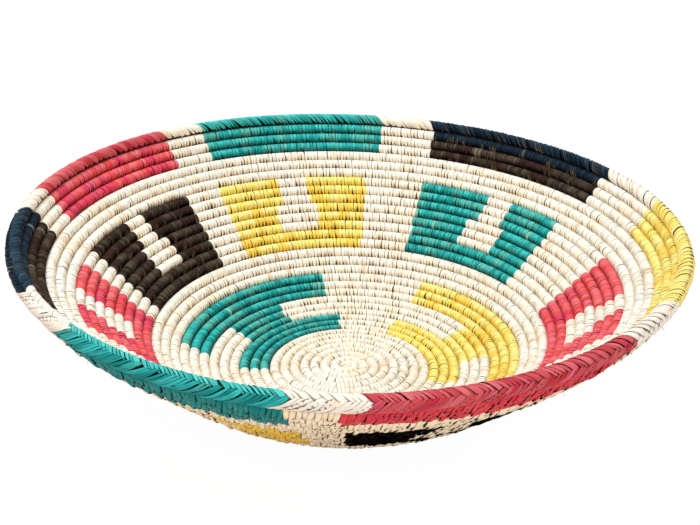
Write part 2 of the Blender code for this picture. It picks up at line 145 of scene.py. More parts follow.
@dataclass(frozen=True)
class BowlForm:
    """The bowl's section and its spiral of rows, as the part's source has them."""

    floor_pitch: float = 0.00632
    wall_pitch: float = 0.00707
    foot_share: float = 0.40
    knee_start: float = 7.86
    knee_end: float = 19.70
    rim_turn_start: float = 30.0
    rim_turn_end: float = 34.0
    wall_slope: float = math.radians(41.9)
    rim_slope: float = math.radians(60.1)
    rim_tilt: float = 0.0066
    rim_tilt_heading: float = math.radians(129.7)
    rim_wave: float = 0.0016
    rim_wave_heading: float = math.radians(-19.2)
    rim_oval: float = 0.0033
    rim_oval_heading: float = math.radians(96.6)
    coil_end_heading: float = 266.0
    closing_start: float = 285.0
    closing_end: float = 354.0
    closing_share: float = 1.0 / 3.0
    band_row: int = 31
    rim_row: int = 34
    braid_lean: float = 24.0
    braid_front: float = 90.0
    flare_share: float = 0.42
    aim: float = 0.5
    profile_rows: int = 37
    steps_a_row: int = 20

    @property
    def floor_height(self) -> float:
        """Height of the coil's centre on the floor."""
        return self.foot_share * self.floor_pitch

    def slope_at(self, row: float) -> float:
        """Slope of the wall at a row, in radians."""
        wall = ramp(row, self.knee_start, self.knee_end, 0.0, self.wall_slope)
        turn = self.rim_slope - self.wall_slope
        return wall + ramp(row, self.rim_turn_start, self.rim_turn_end, 0.0, turn)

    def pitch_at(self, row: float) -> float:
        """Width of one row there."""
        return ramp(row, self.knee_start, self.knee_end, self.floor_pitch, self.wall_pitch)

    @cached_property
    def profile(self) -> list[Pair]:
        """Radius and height of the section, walked in short steps from the middle."""
        points = [(0.0, self.floor_height)]
        for step in range(self.profile_rows * self.steps_a_row):
            row = (step + 0.5) / self.steps_a_row
            length = self.pitch_at(row) / self.steps_a_row
            radius, height = points[-1]
            slope = self.slope_at(row)
            points.append((radius + length * math.cos(slope), height + length * math.sin(slope)))
        return points

    def profile_at(self, row: float) -> Pair:
        """Radius and height of the section at a row."""
        place = max(row, 0.0) * self.steps_a_row
        index = min(int(place), len(self.profile) - 2)
        share = place - index
        low, high = self.profile[index], self.profile[index + 1]
        return (low[0] + (high[0] - low[0]) * share, low[1] + (high[1] - low[1]) * share)

    @cached_property
    def rim_rise(self) -> float:
        """Height of the rim's centre line above the floor coil's."""
        return self.profile_at(self.rim_row + 0.5)[1] - self.floor_height

    def place(self, row: float, angle: float, lift: float = 0.0) -> Vector:
        """Point of the bowl at a row and an angle.

        Args:
            row: Row counted along the coil.
            angle: Degrees clockwise from the coil's end.
            lift: Distance into the bowl from the rows' centres.

        Returns:
            The point in metres.
        """
        radius, height = self.profile_at(row)
        heading = math.radians(self.coil_end_heading - angle)
        share = (height - self.floor_height) / self.rim_rise
        radius += share * self.rim_oval * math.cos(2.0 * (heading - self.rim_oval_heading))
        height += share * self.rim_tilt * math.cos(heading - self.rim_tilt_heading)
        height += share * self.rim_wave * math.cos(2.0 * (heading - self.rim_wave_heading))
        slope = self.slope_at(row)
        radius -= lift * math.sin(slope)
        height += lift * math.cos(slope)
        return Vector((radius * math.cos(heading), radius * math.sin(heading), height))

    def line_row(self, line: int, angle: float) -> float:
        """Row value of the line between two rows, which close up near the coil's end.

        Args:
            line: Number of the row outside the line.
            angle: Degrees clockwise from the coil's end.

        Returns:
            The row value of that line there.
        """
        turn = angle / ROUND
        if line <= self.band_row:
            return line + turn - 0.5
        narrowing = self.closing_share / (self.closing_end - self.closing_start)
        share = 1.0 - max(angle - self.closing_start, 0.0) * narrowing
        return self.band_row + turn - 0.5 + (line - self.band_row) * share

    def braid_turn(self, angle: float) -> float:
        """How far the braid's spine leans inwards at the front left and outwards at the front right."""
        near = (angle + ROUND / 2.0) % ROUND - ROUND / 2.0
        return self.braid_lean * math.sin(math.radians(2.0 * near)) if abs(near) < self.braid_front else 0.0

    def row_centre(self, row: int, angle: float) -> Pair:
        """Row value of a row's centre at an angle, and its width in whole rows."""
        if row >= self.rim_row:
            return (self.line_row(self.rim_row, angle) + 0.5, 1.0)
        low, high = self.line_row(row, angle), self.line_row(row + 1, angle)
        return ((low + high) / 2.0, high - low)

    def row_point(self, row: int, angle: float, aside: float = 0.0, sink: float = 0.0) -> RowPoint:
        """Centre of a row with its frame.

        Args:
            row: Number of the row.
            angle: Degrees clockwise from the coil's end.
            aside: How far outwards from the centre the point lies, in rows.
            sink: How far below the rows' centres it lies, in rows.

        Returns:
            The point, its directions into the bowl and along the row, and its sizes.
        """
        centre, share = self.row_centre(row, angle)
        centre += aside * share
        pitch = self.pitch_at(centre)
        place = self.place(centre, angle, -sink * pitch)
        lift = (place - self.place(centre, angle, -MM - sink * pitch)).normalized()
        ahead = self.place(self.row_centre(row, angle + self.aim)[0], angle + self.aim)
        behind = self.place(self.row_centre(row, angle - self.aim)[0], angle - self.aim)
        flare = 1.0 + self.flare_share * pitch / max(math.hypot(place.x, place.y), MM)
        along = (ahead - behind).normalized()
        return RowPoint(place, lift, along, pitch * share, pitch * share ** 0.5, flare)


def _operator(operation: str, swapped: bool = False) -> "Callable[[Wire, Value], Wire]":
    """Method that adds one Math node.

    Args:
        operation: The node's operation.
        swapped: Whether the other value comes first.

    Returns:
        The method.
    """
    def method(self: "Wire", other: Value) -> "Wire":
        """The node's result for this wire and another value."""
        return self.maths(operation, *((other, self) if swapped else (self, other)))

    return method


class Wire:
    """One output socket whose Python operators add Math nodes."""

    def __init__(self, graph: "Graph", socket: bpy.types.NodeSocket) -> None:
        """Keep the socket and the graph that it is in."""
        self.graph = graph
        self.socket = socket

    def maths(self, operation: str, *values: Value) -> "Wire":
        """Result of one Math node with some numbers or wires."""
        return self.graph.node("ShaderNodeMath", {"operation": operation}, dict(enumerate(values)))

    __add__ = __radd__ = _operator("ADD")
    __mul__ = __rmul__ = _operator("MULTIPLY")
    __sub__ = _operator("SUBTRACT")
    __rsub__ = _operator("SUBTRACT", swapped=True)
    __truediv__ = _operator("DIVIDE")
    __mod__ = _operator("FLOORED_MODULO")
    least = _operator("MINIMUM")
    most = _operator("MAXIMUM")

    def floor(self) -> "Wire":
        """Next whole number below."""
        return self.maths("FLOOR", self)

    def size(self) -> "Wire":
        """Its value without the sign."""
        return self.maths("ABSOLUTE", self)

    def part(self, index: int) -> "Wire":
        """X, Y or Z of a vector wire."""
        return self.graph.node("ShaderNodeSeparateXYZ", {}, {"Vector": self}, index)


class Graph:
    """A node tree that is filled through one method."""

    def __init__(self, tree: bpy.types.NodeTree) -> None:
        """Start with an empty tree."""
        self.tree = tree
        self.tree.nodes.clear()

    @classmethod
    def of(cls, owner: bpy.types.ID) -> "Graph":
        """Empty graph of a material or world."""
        owner.use_nodes = True
        return cls(owner.node_tree)

    @staticmethod
    def _find(sockets: bpy.types.NodeInputs, key: "int | str") -> bpy.types.NodeSocket:
        """The open socket of that number or name."""
        shown = [socket for socket in sockets if socket.enabled]
        if isinstance(key, int):
            return shown[key]
        return next(socket for socket in shown if key in (socket.name, socket.identifier))

    def add(self, kind: str, settings: dict | None = None, sockets: dict | None = None) -> bpy.types.Node:
        """Add a node.

        Args:
            kind: The node's type.
            settings: Its properties, such as an operation, set first.
            sockets: Values or wires of its inputs, by number or name.

        Returns:
            The node.
        """
        made = self.tree.nodes.new(kind)
        for name, value in (settings or {}).items():
            setattr(made, name, value)
        for key, value in (sockets or {}).items():
            target = self._find(made.inputs, key)
            if isinstance(value, Wire):
                self.tree.links.new(value.socket, target)
            else:
                target.default_value = value
        return made

    def node(self, kind: str, settings: dict | None = None, sockets: dict | None = None,
             output: "int | str" = 0) -> Wire:
        """Add a node and take the output of that number or name."""
        made = self.add(kind, settings, sockets)
        return Wire(self, self._find(made.outputs, output))

    def read(self, name: str, output: str = "Fac") -> Wire:
        """An attribute of the mesh, in a material."""
        return self.node("ShaderNodeAttribute", {"attribute_name": name}, {}, output)

    def vector(self, x: Value, y: Value, z: Value = 0.0) -> Wire:
        """Vector of three values."""
        return self.node("ShaderNodeCombineXYZ", {}, {0: x, 1: y, 2: z})

    def stretch(self, value: Wire, start: float, end: float, low: float = 0.0, high: float = 1.0) -> Wire:
        """Smooth step of a value, which leaves low at start and reaches high at end."""
        sockets = {"Value": value, "From Min": start, "From Max": end, "To Min": low, "To Max": high}
        return self.node("ShaderNodeMapRange", {"interpolation_type": "SMOOTHSTEP"}, sockets)

    def window(self, value: Wire, window: Window) -> Wire:
        """1 between the window's middle values, falling to 0 at its outer ones."""
        return self.stretch(value, *window[:2]) * self.stretch(value, *window[:1:-1])

    def noise(self, vector: Wire, scale: float, detail: float = 2.0, rough: float = 0.5) -> Wire:
        """Smooth noise from 0 to 1."""
        sockets = {"Vector": vector, "Scale": scale, "Detail": detail, "Roughness": rough}
        return self.node("ShaderNodeTexNoise", {}, sockets)

    def mix(self, share: Value, first: "Triple | Wire", second: "Triple | Wire") -> Wire:
        """Mix a share of a second colour into a first one."""
        colours = [c if isinstance(c, Wire) else (*c, 1.0) for c in (first, second)]
        sockets = {"Factor": share, "A": colours[0], "B": colours[1]}
        return self.node("ShaderNodeMix", {"data_type": "RGBA"}, sockets, "Result")

    def rays(self) -> Wire:
        """1 for rays from the camera, mirrors and glass, 0 for those that light the bowl."""
        outputs = self.add("ShaderNodeLightPath").outputs
        camera, glossy, clear = (Wire(self, outputs[f"Is {kind} Ray"])
                                 for kind in ("Camera", "Glossy", "Transmission"))
        return camera.most(glossy).most(clear)

    def skin(self, colour: Wire, roughness: Wire, gloss: float, height: Wire, bump: Pair) -> None:
        """Finish a material with its surface.

        Args:
            colour: Its colour.
            roughness: Its roughness.
            gloss: How strongly it mirrors.
            height: Its fine relief.
            bump: Strength and depth of that relief.
        """
        relief = self.node("ShaderNodeBump", {}, {"Strength": bump[0], "Distance": bump[1], "Height": height})
        shader = self.node("ShaderNodeBsdfPrincipled", {}, {
            "Base Color": colour, "Roughness": roughness, "Normal": relief, "Specular IOR Level": gloss})
        self.add("ShaderNodeOutputMaterial", {}, {"Surface": shader})


@dataclass(frozen=True)
class Openings:
    """Dark openings between strands, folds in a strand and cracks in the braid: painted shade.

    Lots, gaps and slits are steps of the strands' own numbers.  Windows and fades run
    along a strand, over the row's face in the bowl up to one half and then back over
    its outer face, and edges run across it, all in shares.  A reach is what its number
    starts from and how far it then goes; a top or a place, where it starts and varies.
    """

    bunch_lots: Window = (0.25, 0.60, 0.35, 1.0)
    inner_window: Window = (0.20, 0.46, 0.50, 0.56)
    inner_reach: Pair = (0.10, 0.46)
    outer_window: Window = (0.50, 0.57, 0.69, 0.80)
    outer_reach: Pair = (0.05, 0.78)
    far_share: float = 0.6
    brim: Pair = (-0.02, 0.035)
    line_slits: Pair = (0.28, 0.75)
    line_edge: Pair = (0.115, 0.045)
    line_top: Pair = (0.26, 0.24)
    line_fades: Triple = (0.10, 0.60, 0.50)
    line_share: float = 0.8
    fold_place: Pair = (0.28, 0.44)
    fold_edge: Pair = (0.105, 0.050)
    fold_gaps: Pair = (0.15, 0.35)
    fold_top: Pair = (0.40, 0.22)
    fold_fades: Triple = (0.12, 0.57, 0.50)
    fold_window: Window = (0.50, 0.56, 0.70, 0.82)
    fold_share: float = 0.75
    crack_edge: Pair = (0.12, 0.04)
    crack_gaps: Pair = (0.10, 0.4)
    split_edge: Pair = (0.034, 0.012)
    split_slits: Pair = (0.40, 0.55)
    split_share: float = 0.8

    def shade(self, graph: Graph, numbers: dict[str, Wire], crack_share: float) -> Wire:
        """How far a spot lies in one of the openings, which are painted dark as shade.

        Args:
            graph: The material's graph.
            numbers: The strands' numbers.
            crack_share: How dark the painted shade along the edges of the braid's strands is.

        Returns:
            1 in the opening and 0 on the strand.
        """
        along, across, edge = numbers["along"], numbers["across"], numbers["edge"]
        gap, slit, plait = numbers["gap"], numbers["slit"], numbers["plait"]

        def below(top: Pair, varying: Wire, fades: Triple) -> Wire:
            """Part of a strand from a varying top to a fixed end."""
            rise, *end = fades
            return graph.stretch(along - (top[0] - varying * top[1]), 0.0, rise) * graph.stretch(along, *end)

        bunch = graph.stretch(numbers["lot"], *self.bunch_lots)
        want = (gap * bunch - self.inner_reach[0]).most(0.0) * self.inner_reach[1]
        outer_want = (gap - self.outer_reach[0]).most(0.0) * self.outer_reach[1]
        reach = graph.window(along, self.inner_window) * want
        reach = reach + graph.window(along, self.outer_window) * outer_want
        tooth = graph.stretch(reach - across, *self.brim)
        other = graph.stretch(reach * self.far_share - (1.0 - across), *self.brim)
        line = graph.stretch(slit, *self.line_slits) * graph.stretch(edge, *self.line_edge)
        line = line * below(self.line_top, slit, self.line_fades)
        split = (across - self.fold_place[0] - slit * self.fold_place[1]).size()
        fold = graph.stretch(split, *self.fold_edge) * graph.stretch(gap, *self.fold_gaps)
        fold = fold * below(self.fold_top, gap, self.fold_fades).most(graph.window(along, self.fold_window))
        wrap = tooth.most(other).most(line * bunch * self.line_share).most(fold * self.fold_share)
        crack = graph.stretch(edge, *self.crack_edge) * graph.stretch(gap, *self.crack_gaps)
        splits = graph.stretch(split, *self.split_edge) * graph.stretch(slit, *self.split_slits)
        return (wrap * (1.0 - plait)).most(crack.most(splits * self.split_share) * plait * crack_share)


@dataclass(frozen=True)
class RaffiaFinish:
    """Colours and surface of one raffia strand.

    Base and light are the colours of single strands, lot that of whole bunches, and
    deep that of the darker fibres.  The lower-shade colour is painted shade and warm
    bounce light on a row's lower side and in its grooves, partly the strands' own
    warmer tint, and the gap-shade colour is painted shade in the openings between
    strands.  Outside is painted shade on the bowl's outer side, braid painted shade on
    the braid's outer strands, and pale a painted highlight where the braid's inner
    strands turn over the top.  Rare is the colour of a few strands, inside the dark
    colour of the braid's core, painted as the shade under its strands, and straw that
    of the stems that show through some openings.  Steps are where a number begins and
    where it ends to show, and paces how fast a strand's numbers change with its grain.
    Lower-shade tones and patch shares are what shows at least and what the tone or the
    patch adds.
    """

    base: Triple
    light: Triple
    deep: Triple
    lot: Triple
    groove: Triple
    tooth: Triple
    outside: Triple
    braid: Triple
    pale: Triple
    rare: Triple
    inside: Triple
    straw: Triple = srgb(196, 172, 122)
    groove_share: float = 0.75
    outside_share: float = 0.85
    streak_share: float = 0.45
    tooth_share: float = 0.9
    lot_share: float = 0.8
    rare_share: float = 0.010
    pale_share: float = 0.55
    braid_share: float = 0.3
    crack_share: float = 1.0
    fleck_share: float = 0.0
    roughness: float = 0.55
    gloss: float = 0.25
    openings: Openings = Openings()
    streaks: tuple[Pair, Pair, float] = ((2.4, 5.0), (3.1, 7.7), 0.55)
    fibres: tuple[Pair, Pair, float] = ((4.0, 13.0), (1.7, 1.0), 0.6)
    ply_grain: float = 23.0
    paces: tuple[tuple[str, float], ...] = (("gap", 3.7), ("slit", 1.9), ("fleck", 5.3))
    patch: tuple[float, float, float] = (140.0, 2.0, 0.6)
    tone_share: float = 0.65
    fibre_share: float = 0.8
    groove_tones: Pair = (0.6, 0.4)
    patch_shares: Pair = (0.65, 0.5)
    back_light: float = 0.35
    shadow: Pair = (0.7, 0.2)
    rare_fade: Pair = (0.7, 0.8)
    lower_shares: Pair = (0.5, 0.8)
    fibre_shine: float = 0.25
    lot_step: Pair = (0.52, 0.86)
    streak_step: Pair = (0.48, 0.74)
    fibre_step: Pair = (0.52, 0.74)
    shine_step: Pair = (0.42, 0.26)
    shine_share: float = 0.35
    fleck_step: Pair = (0.66, 0.74)
    core_step: Pair = (0.35, 0.65)
    lower_window: Window = (0.18, 0.44, 0.50, 0.58)
    top_step: Pair = (0.05, 0.0)
    plait_step: Pair = (0.22, 0.0)
    pale_step: Pair = (0.38, 0.66)
    bump: Pair = (0.5, 0.10 * MM)

    def _numbers(self, graph: Graph) -> dict[str, Wire]:
        """The strands' attributes, by name, and what follows from them."""
        names = ("tone", "lot", "grain", "under", "plait", "outer", "ply")
        found = {name: graph.read(name) for name in names}
        strand = graph.read("strand", "Vector")
        found["tone"] = (found["tone"] + found["ply"]) % 1.0
        found["grain"] = found["grain"] + found["ply"] * self.ply_grain
        found["along"] = strand.part(0)
        found["across"] = (strand.part(1) / StrapMesh.FACE_SHARE).least(1.0)
        found["edge"] = 0.5 - (found["across"] - 0.5).size()
        for name, pace in self.paces:
            found[name] = (found["grain"] * pace) % 1.0
        return found

    @staticmethod
    def _fibres(graph: Graph, numbers: dict[str, Wire], kind: tuple[Pair, Pair, float]) -> Wire:
        """Noise that is drawn out along a strand.

        Args:
            graph: The material's graph.
            numbers: The strands' numbers.
            kind: Its scale and its shift from strand to strand, along and across, and its roughness.

        Returns:
            The noise.
        """
        (long, wide), (onward, aside), rough = kind
        grain = numbers["grain"]
        place = graph.vector(numbers["along"] * long + grain * onward,
                             numbers["across"] * wide + grain * aside, grain)
        return graph.noise(place, 1.0, 2.0, rough)

    def dress(self, name: str) -> bpy.types.Material:
        """Make the strand's material.

        Args:
            name: Name of the material.

        Returns:
            The material, which reads the strands' own attributes.
        """
        material = bpy.data.materials.new(name)
        graph = Graph.of(material)
        numbers = self._numbers(graph)
        along, tone, plait = numbers["along"], numbers["tone"], numbers["plait"]
        inward = 1.0 - numbers["outer"]
        streak = self._fibres(graph, numbers, self.streaks)
        fibre = self._fibres(graph, numbers, self.fibres)
        patch = graph.noise(graph.node("ShaderNodeTexCoord", {}, {}, "Object"), *self.patch)

        # Painted shade with warm bounce light on the row's lower side and in its grooves, partly the strands'
        # own warmer tint, and at the starting ends of the braid's strands.
        top, bottom = self.lower_shares
        lower = graph.window(along, self.lower_window) + graph.stretch(along, *self.top_step) * top
        lower = lower * (1.0 - plait) + plait * graph.stretch(along, *self.plait_step) * bottom
        # Painted shade on the bowl's outer side, and some over the braid.
        outside = numbers["outer"].most(plait * self.braid_share) * self.outside_share
        # Painted highlight where the braid's inner strands turn over the top.
        pale = plait * inward * graph.stretch(along, *self.pale_step) * (tone * 0.5 + 0.5)
        rare = graph.stretch(tone, 1.0 - self.rare_share, 1.0 - self.rare_share * self.rare_fade[0])
        # Colour of that painted shade: the outside colour on wraps, the braid colour, lightened by tone, on
        # the braid.
        back = graph.mix(plait, self.outside, graph.mix(tone * self.back_light, self.braid, self.light))
        fleck = graph.stretch(numbers["fleck"], *self.fleck_step) * inward * self.fleck_share
        # Painted shade in the openings, with straw showing through some, darker on the outer side.
        opening = graph.mix(fleck, self.tooth, self.straw)
        shadow, dark = self.shadow
        opening = graph.mix(numbers["outer"] * shadow, opening, tuple(dark * part for part in self.tooth))
        # Painted shade on the braid's core, which lies under its strands.
        core = graph.mix(graph.stretch(fibre, *self.core_step), self.tooth, self.inside)

        (tone_low, tone_high), (patch_low, patch_high) = self.groove_tones, self.patch_shares
        colour = graph.mix(tone * self.tone_share + patch * (1.0 - self.tone_share), self.base, self.light)
        for share, paint in (
                (graph.stretch(numbers["lot"], *self.lot_step) * self.lot_share, self.lot),
                (graph.stretch(streak, *self.streak_step) * self.streak_share, self.deep),
                (graph.stretch(fibre, *self.fibre_step) * (self.streak_share * self.fibre_share), self.deep),
                (graph.stretch(fibre, *self.shine_step) * self.shine_share, self.light),
                (lower * (tone * tone_high + tone_low) * self.groove_share, self.groove),
                (outside * (patch * patch_high + patch_low).least(1.0), back),
                (pale * self.pale_share, self.pale),
                (rare * self.rare_fade[1] * inward, self.rare),
                (self.openings.shade(graph, numbers, self.crack_share) * self.tooth_share, opening),
                (numbers["under"], core)):
            colour = graph.mix(share, colour, paint)
        roughness = self.roughness + (fibre - 0.5) * self.fibre_shine
        graph.skin(colour, roughness, self.gloss, streak * 0.5 + fibre * 0.5, self.bump)
        return material


@dataclass(frozen=True)
class GrassFinish:
    """Dry grass stems of the bundle inside the rows, painted very dark brown as the shade they lie in."""

    base: Triple = srgb(58, 38, 20)
    pale: Triple = srgb(96, 68, 38)
    deep: Triple = srgb(20, 13, 8)
    stem_scale: Pair = (40.0, 22.0)
    stem_noise: Triple = (1.0, 3.0, 0.6)
    stem_shine: float = 0.2
    patch_scale: float = 120.0
    pale_step: Pair = (0.4, 0.7)
    deep_step: Pair = (0.45, 0.7)
    deep_share: float = 0.6
    bump: Pair = (0.8, 0.3 * MM)
    roughness: float = 0.8
    gloss: float = 0.2

    def dress(self, name: str) -> bpy.types.Material:
        """Make the grass material.

        Args:
            name: Name of the material.

        Returns:
            The material.
        """
        material = bpy.data.materials.new(name)
        graph = Graph.of(material)
        strand = graph.read("strand", "Vector")
        stems = graph.vector(strand.part(0) * self.stem_scale[0], strand.part(1) * self.stem_scale[1])
        stem = graph.noise(stems, *self.stem_noise)
        patch = graph.noise(graph.node("ShaderNodeTexCoord", {}, {}, "Object"), self.patch_scale)
        colour = graph.mix(graph.stretch(stem, *self.pale_step), self.base, self.pale)
        colour = graph.mix(graph.stretch(patch, *self.deep_step) * self.deep_share, colour, self.deep)
        graph.skin(colour, self.roughness + (stem - 0.5) * self.stem_shine, self.gloss, stem, self.bump)
        return material


class StrapMesh:
    """Mesh of flat strands, each a closed lens-shaped strip or ring.

    A lane is a line along a strand: its place across, its place in the strand's
    layout, and how far it drops from the crown.
    """

    LANES = ((-0.5, 0.0, 1.0), (-0.26, 0.22, 0.0), (0.26, 0.78, 0.0), (0.5, 1.0, 1.0))
    FACE_SHARE = 0.74
    BACK = (0.78, 1.0)

    def __init__(self, plait: float = 0.0) -> None:
        """Start with no strands.

        Args:
            plait: 1 for strands that are plaited or loose, 0 for wraps of a row.
        """
        self.plait = plait
        self.vertices: list[Vector] = []
        self.faces: list[tuple[int, ...]] = []
        self.corners: list[Pair] = []
        self.values: dict[str, list[float]] = {key: [] for key in ("under", "outer", "ply", "tone", "grain")}

    def strap(self, middles: list[Vector], sides: list[Vector], rises: list[Vector], lean: float = 0.0,
              closed: bool = False, under: float = 0.0, mark: Pair = (0.5, 0.0),
              outer: list[float] | None = None, ply: float = 0.0) -> None:
        """Add one strand.

        Args:
            middles: Crown line of the strand.
            sides: Across it, as long as the strand is wide there.
            rises: Outwards, as long as the strand's crown is high there.
            lean: How far its first edge stands above the other, in crown heights.
            closed: Whether it is a ring.
            under: 1 for a strand that lies in the dark under others, whose colour is painted shade.
            mark: Tone and grain of a strand that no tree gives them to.
            outer: How far each place lies on the bowl's outer side, from 0 to 1.
            ply: What is added to its tone.
        """
        first, count, lanes = len(self.vertices), len(middles), len(self.LANES)
        for middle, side, rise in zip(middles, sides, rises):
            for share, _, drop in self.LANES:
                self.vertices.append(middle + side * share - rise * (drop + 2.0 * share * lean))
        for key, value in (("under", under), ("ply", ply), ("tone", mark[0]), ("grain", mark[1])):
            self.values[key] += [value] * (count * lanes)
        for value in outer or [0.0] * count:
            self.values["outer"] += [value] * lanes
        layout = [v * self.FACE_SHARE for _, v, _ in self.LANES]
        strips = [*zip(layout, layout[1:]), self.BACK]
        last = count if closed else count - 1
        for step in range(last):
            here, ahead = first + lanes * step, first + lanes * ((step + 1) % count)
            u_here, u_ahead = step / last, (step + 1) / last
            for lane, (v_low, v_high) in enumerate(strips):
                other = (lane + 1) % lanes
                self.faces.append((here + lane, ahead + lane, ahead + other, here + other))
                self.corners += [(u_here, v_low), (u_ahead, v_low), (u_ahead, v_high), (u_here, v_high)]
        if not closed:
            end = first + lanes * (count - 1)
            self.faces += [tuple(range(first, first + lanes)), tuple(range(end + lanes - 1, end - 1, -1))]
            self.corners += [(0.0, v) for v in layout] + [(1.0, v) for v in layout[::-1]]

    def finish(self, name: str, material: bpy.types.Material | None = None) -> bpy.types.Mesh:
        """Make the mesh with its strand layout.

        Args:
            name: Name of the mesh.
            material: Material of strands that no tree places, which carry their own tone and grain.

        Returns:
            The mesh.
        """
        mesh = bpy.data.meshes.new(name)
        mesh.from_pydata([tuple(v) for v in self.vertices], [], self.faces, shade_flat=False)
        layout = mesh.attributes.new("strand", "FLOAT2", "CORNER")
        layout.data.foreach_set("vector", [part for corner in self.corners for part in corner])
        size = len(self.vertices)
        extra = {"plait": [self.plait] * size, "lot": [0.5] * size}
        keys = ["under", "outer", "plait"]
        keys += ["ply"] if self.plait else []
        if material:
            keys += ["tone", "grain", "lot"]
            mesh.materials.append(material)
        for key in keys:
            numbers = extra[key] if key in extra else self.values[key]
            mesh.attributes.new(key, "FLOAT", "POINT").data.foreach_set("value", numbers)
        return mesh


# In each finish the lower-shade, gap-shade, outside, braid and inside colours are painted shade, and pale is
# a painted highlight.
FINISHES: dict[Dye, RaffiaFinish] = {
    Dye.NATURAL: RaffiaFinish(
        base=srgb(255, 252, 238), light=srgb(255, 255, 248), deep=srgb(252, 232, 196),
        lot=srgb(255, 238, 210), groove=srgb(255, 230, 186), tooth=srgb(120, 82, 48),
        outside=srgb(255, 220, 172), braid=srgb(234, 200, 172), pale=srgb(251, 240, 226),
        rare=srgb(240, 204, 160), inside=srgb(172, 132, 98), groove_share=0.55, streak_share=0.28,
        lot_share=0.55, pale_share=0.65, braid_share=0.45, crack_share=0.5),
    Dye.RED: RaffiaFinish(
        base=srgb(242, 56, 62), light=srgb(255, 148, 152), deep=srgb(196, 16, 28),
        lot=srgb(222, 42, 104), groove=srgb(206, 18, 28), tooth=srgb(50, 2, 8),
        outside=srgb(220, 34, 44), braid=srgb(160, 2, 12), pale=srgb(255, 140, 150),
        rare=srgb(238, 110, 150), inside=srgb(70, 8, 14), streak_share=0.5, lot_share=0.6,
        pale_share=0.25, braid_share=0.9, gloss=0.12),
    Dye.TEAL: RaffiaFinish(
        base=srgb(0, 150, 147), light=srgb(78, 232, 224), deep=srgb(0, 50, 54),
        lot=srgb(108, 212, 196), groove=srgb(0, 38, 40), tooth=srgb(1, 12, 12),
        outside=srgb(0, 112, 106), braid=srgb(0, 94, 92), pale=srgb(96, 226, 218),
        rare=srgb(150, 206, 180), inside=srgb(4, 24, 24), streak_share=0.72, lot_share=0.65,
        groove_share=0.92, outside_share=0.9, fleck_share=0.3, gloss=0.08),
    Dye.YELLOW: RaffiaFinish(
        base=srgb(255, 240, 108), light=srgb(255, 254, 184), deep=srgb(252, 208, 50),
        lot=srgb(252, 214, 88), groove=srgb(254, 204, 34), tooth=srgb(96, 66, 14),
        outside=srgb(255, 196, 10), braid=srgb(252, 206, 84), pale=srgb(255, 246, 150),
        rare=srgb(252, 240, 176), inside=srgb(160, 120, 44),
        outside_share=1.0, braid_share=0.5, crack_share=0.65, gloss=0.15),
    Dye.BLACK: RaffiaFinish(
        base=srgb(42, 32, 27), light=srgb(112, 98, 84), deep=srgb(6, 4, 3),
        lot=srgb(58, 36, 34), groove=srgb(3, 2, 2), tooth=srgb(1, 1, 1),
        outside=srgb(4, 3, 3), braid=srgb(4, 3, 3), pale=srgb(60, 52, 46),
        rare=srgb(130, 118, 100), inside=srgb(8, 7, 6), groove_share=1.0, outside_share=1.0,
        streak_share=0.85, fleck_share=0.5, gloss=0.0),
    Dye.NAVY: RaffiaFinish(
        base=srgb(12, 24, 36), light=srgb(44, 66, 84), deep=srgb(2, 4, 7),
        lot=srgb(32, 46, 60), groove=srgb(2, 5, 9), tooth=srgb(1, 1, 2),
        outside=srgb(6, 14, 24), braid=srgb(4, 12, 22), pale=srgb(46, 80, 102),
        rare=srgb(120, 136, 134), inside=srgb(6, 7, 9), groove_share=0.95, outside_share=0.95,
        streak_share=0.85, fleck_share=0.8, gloss=0.03),
}


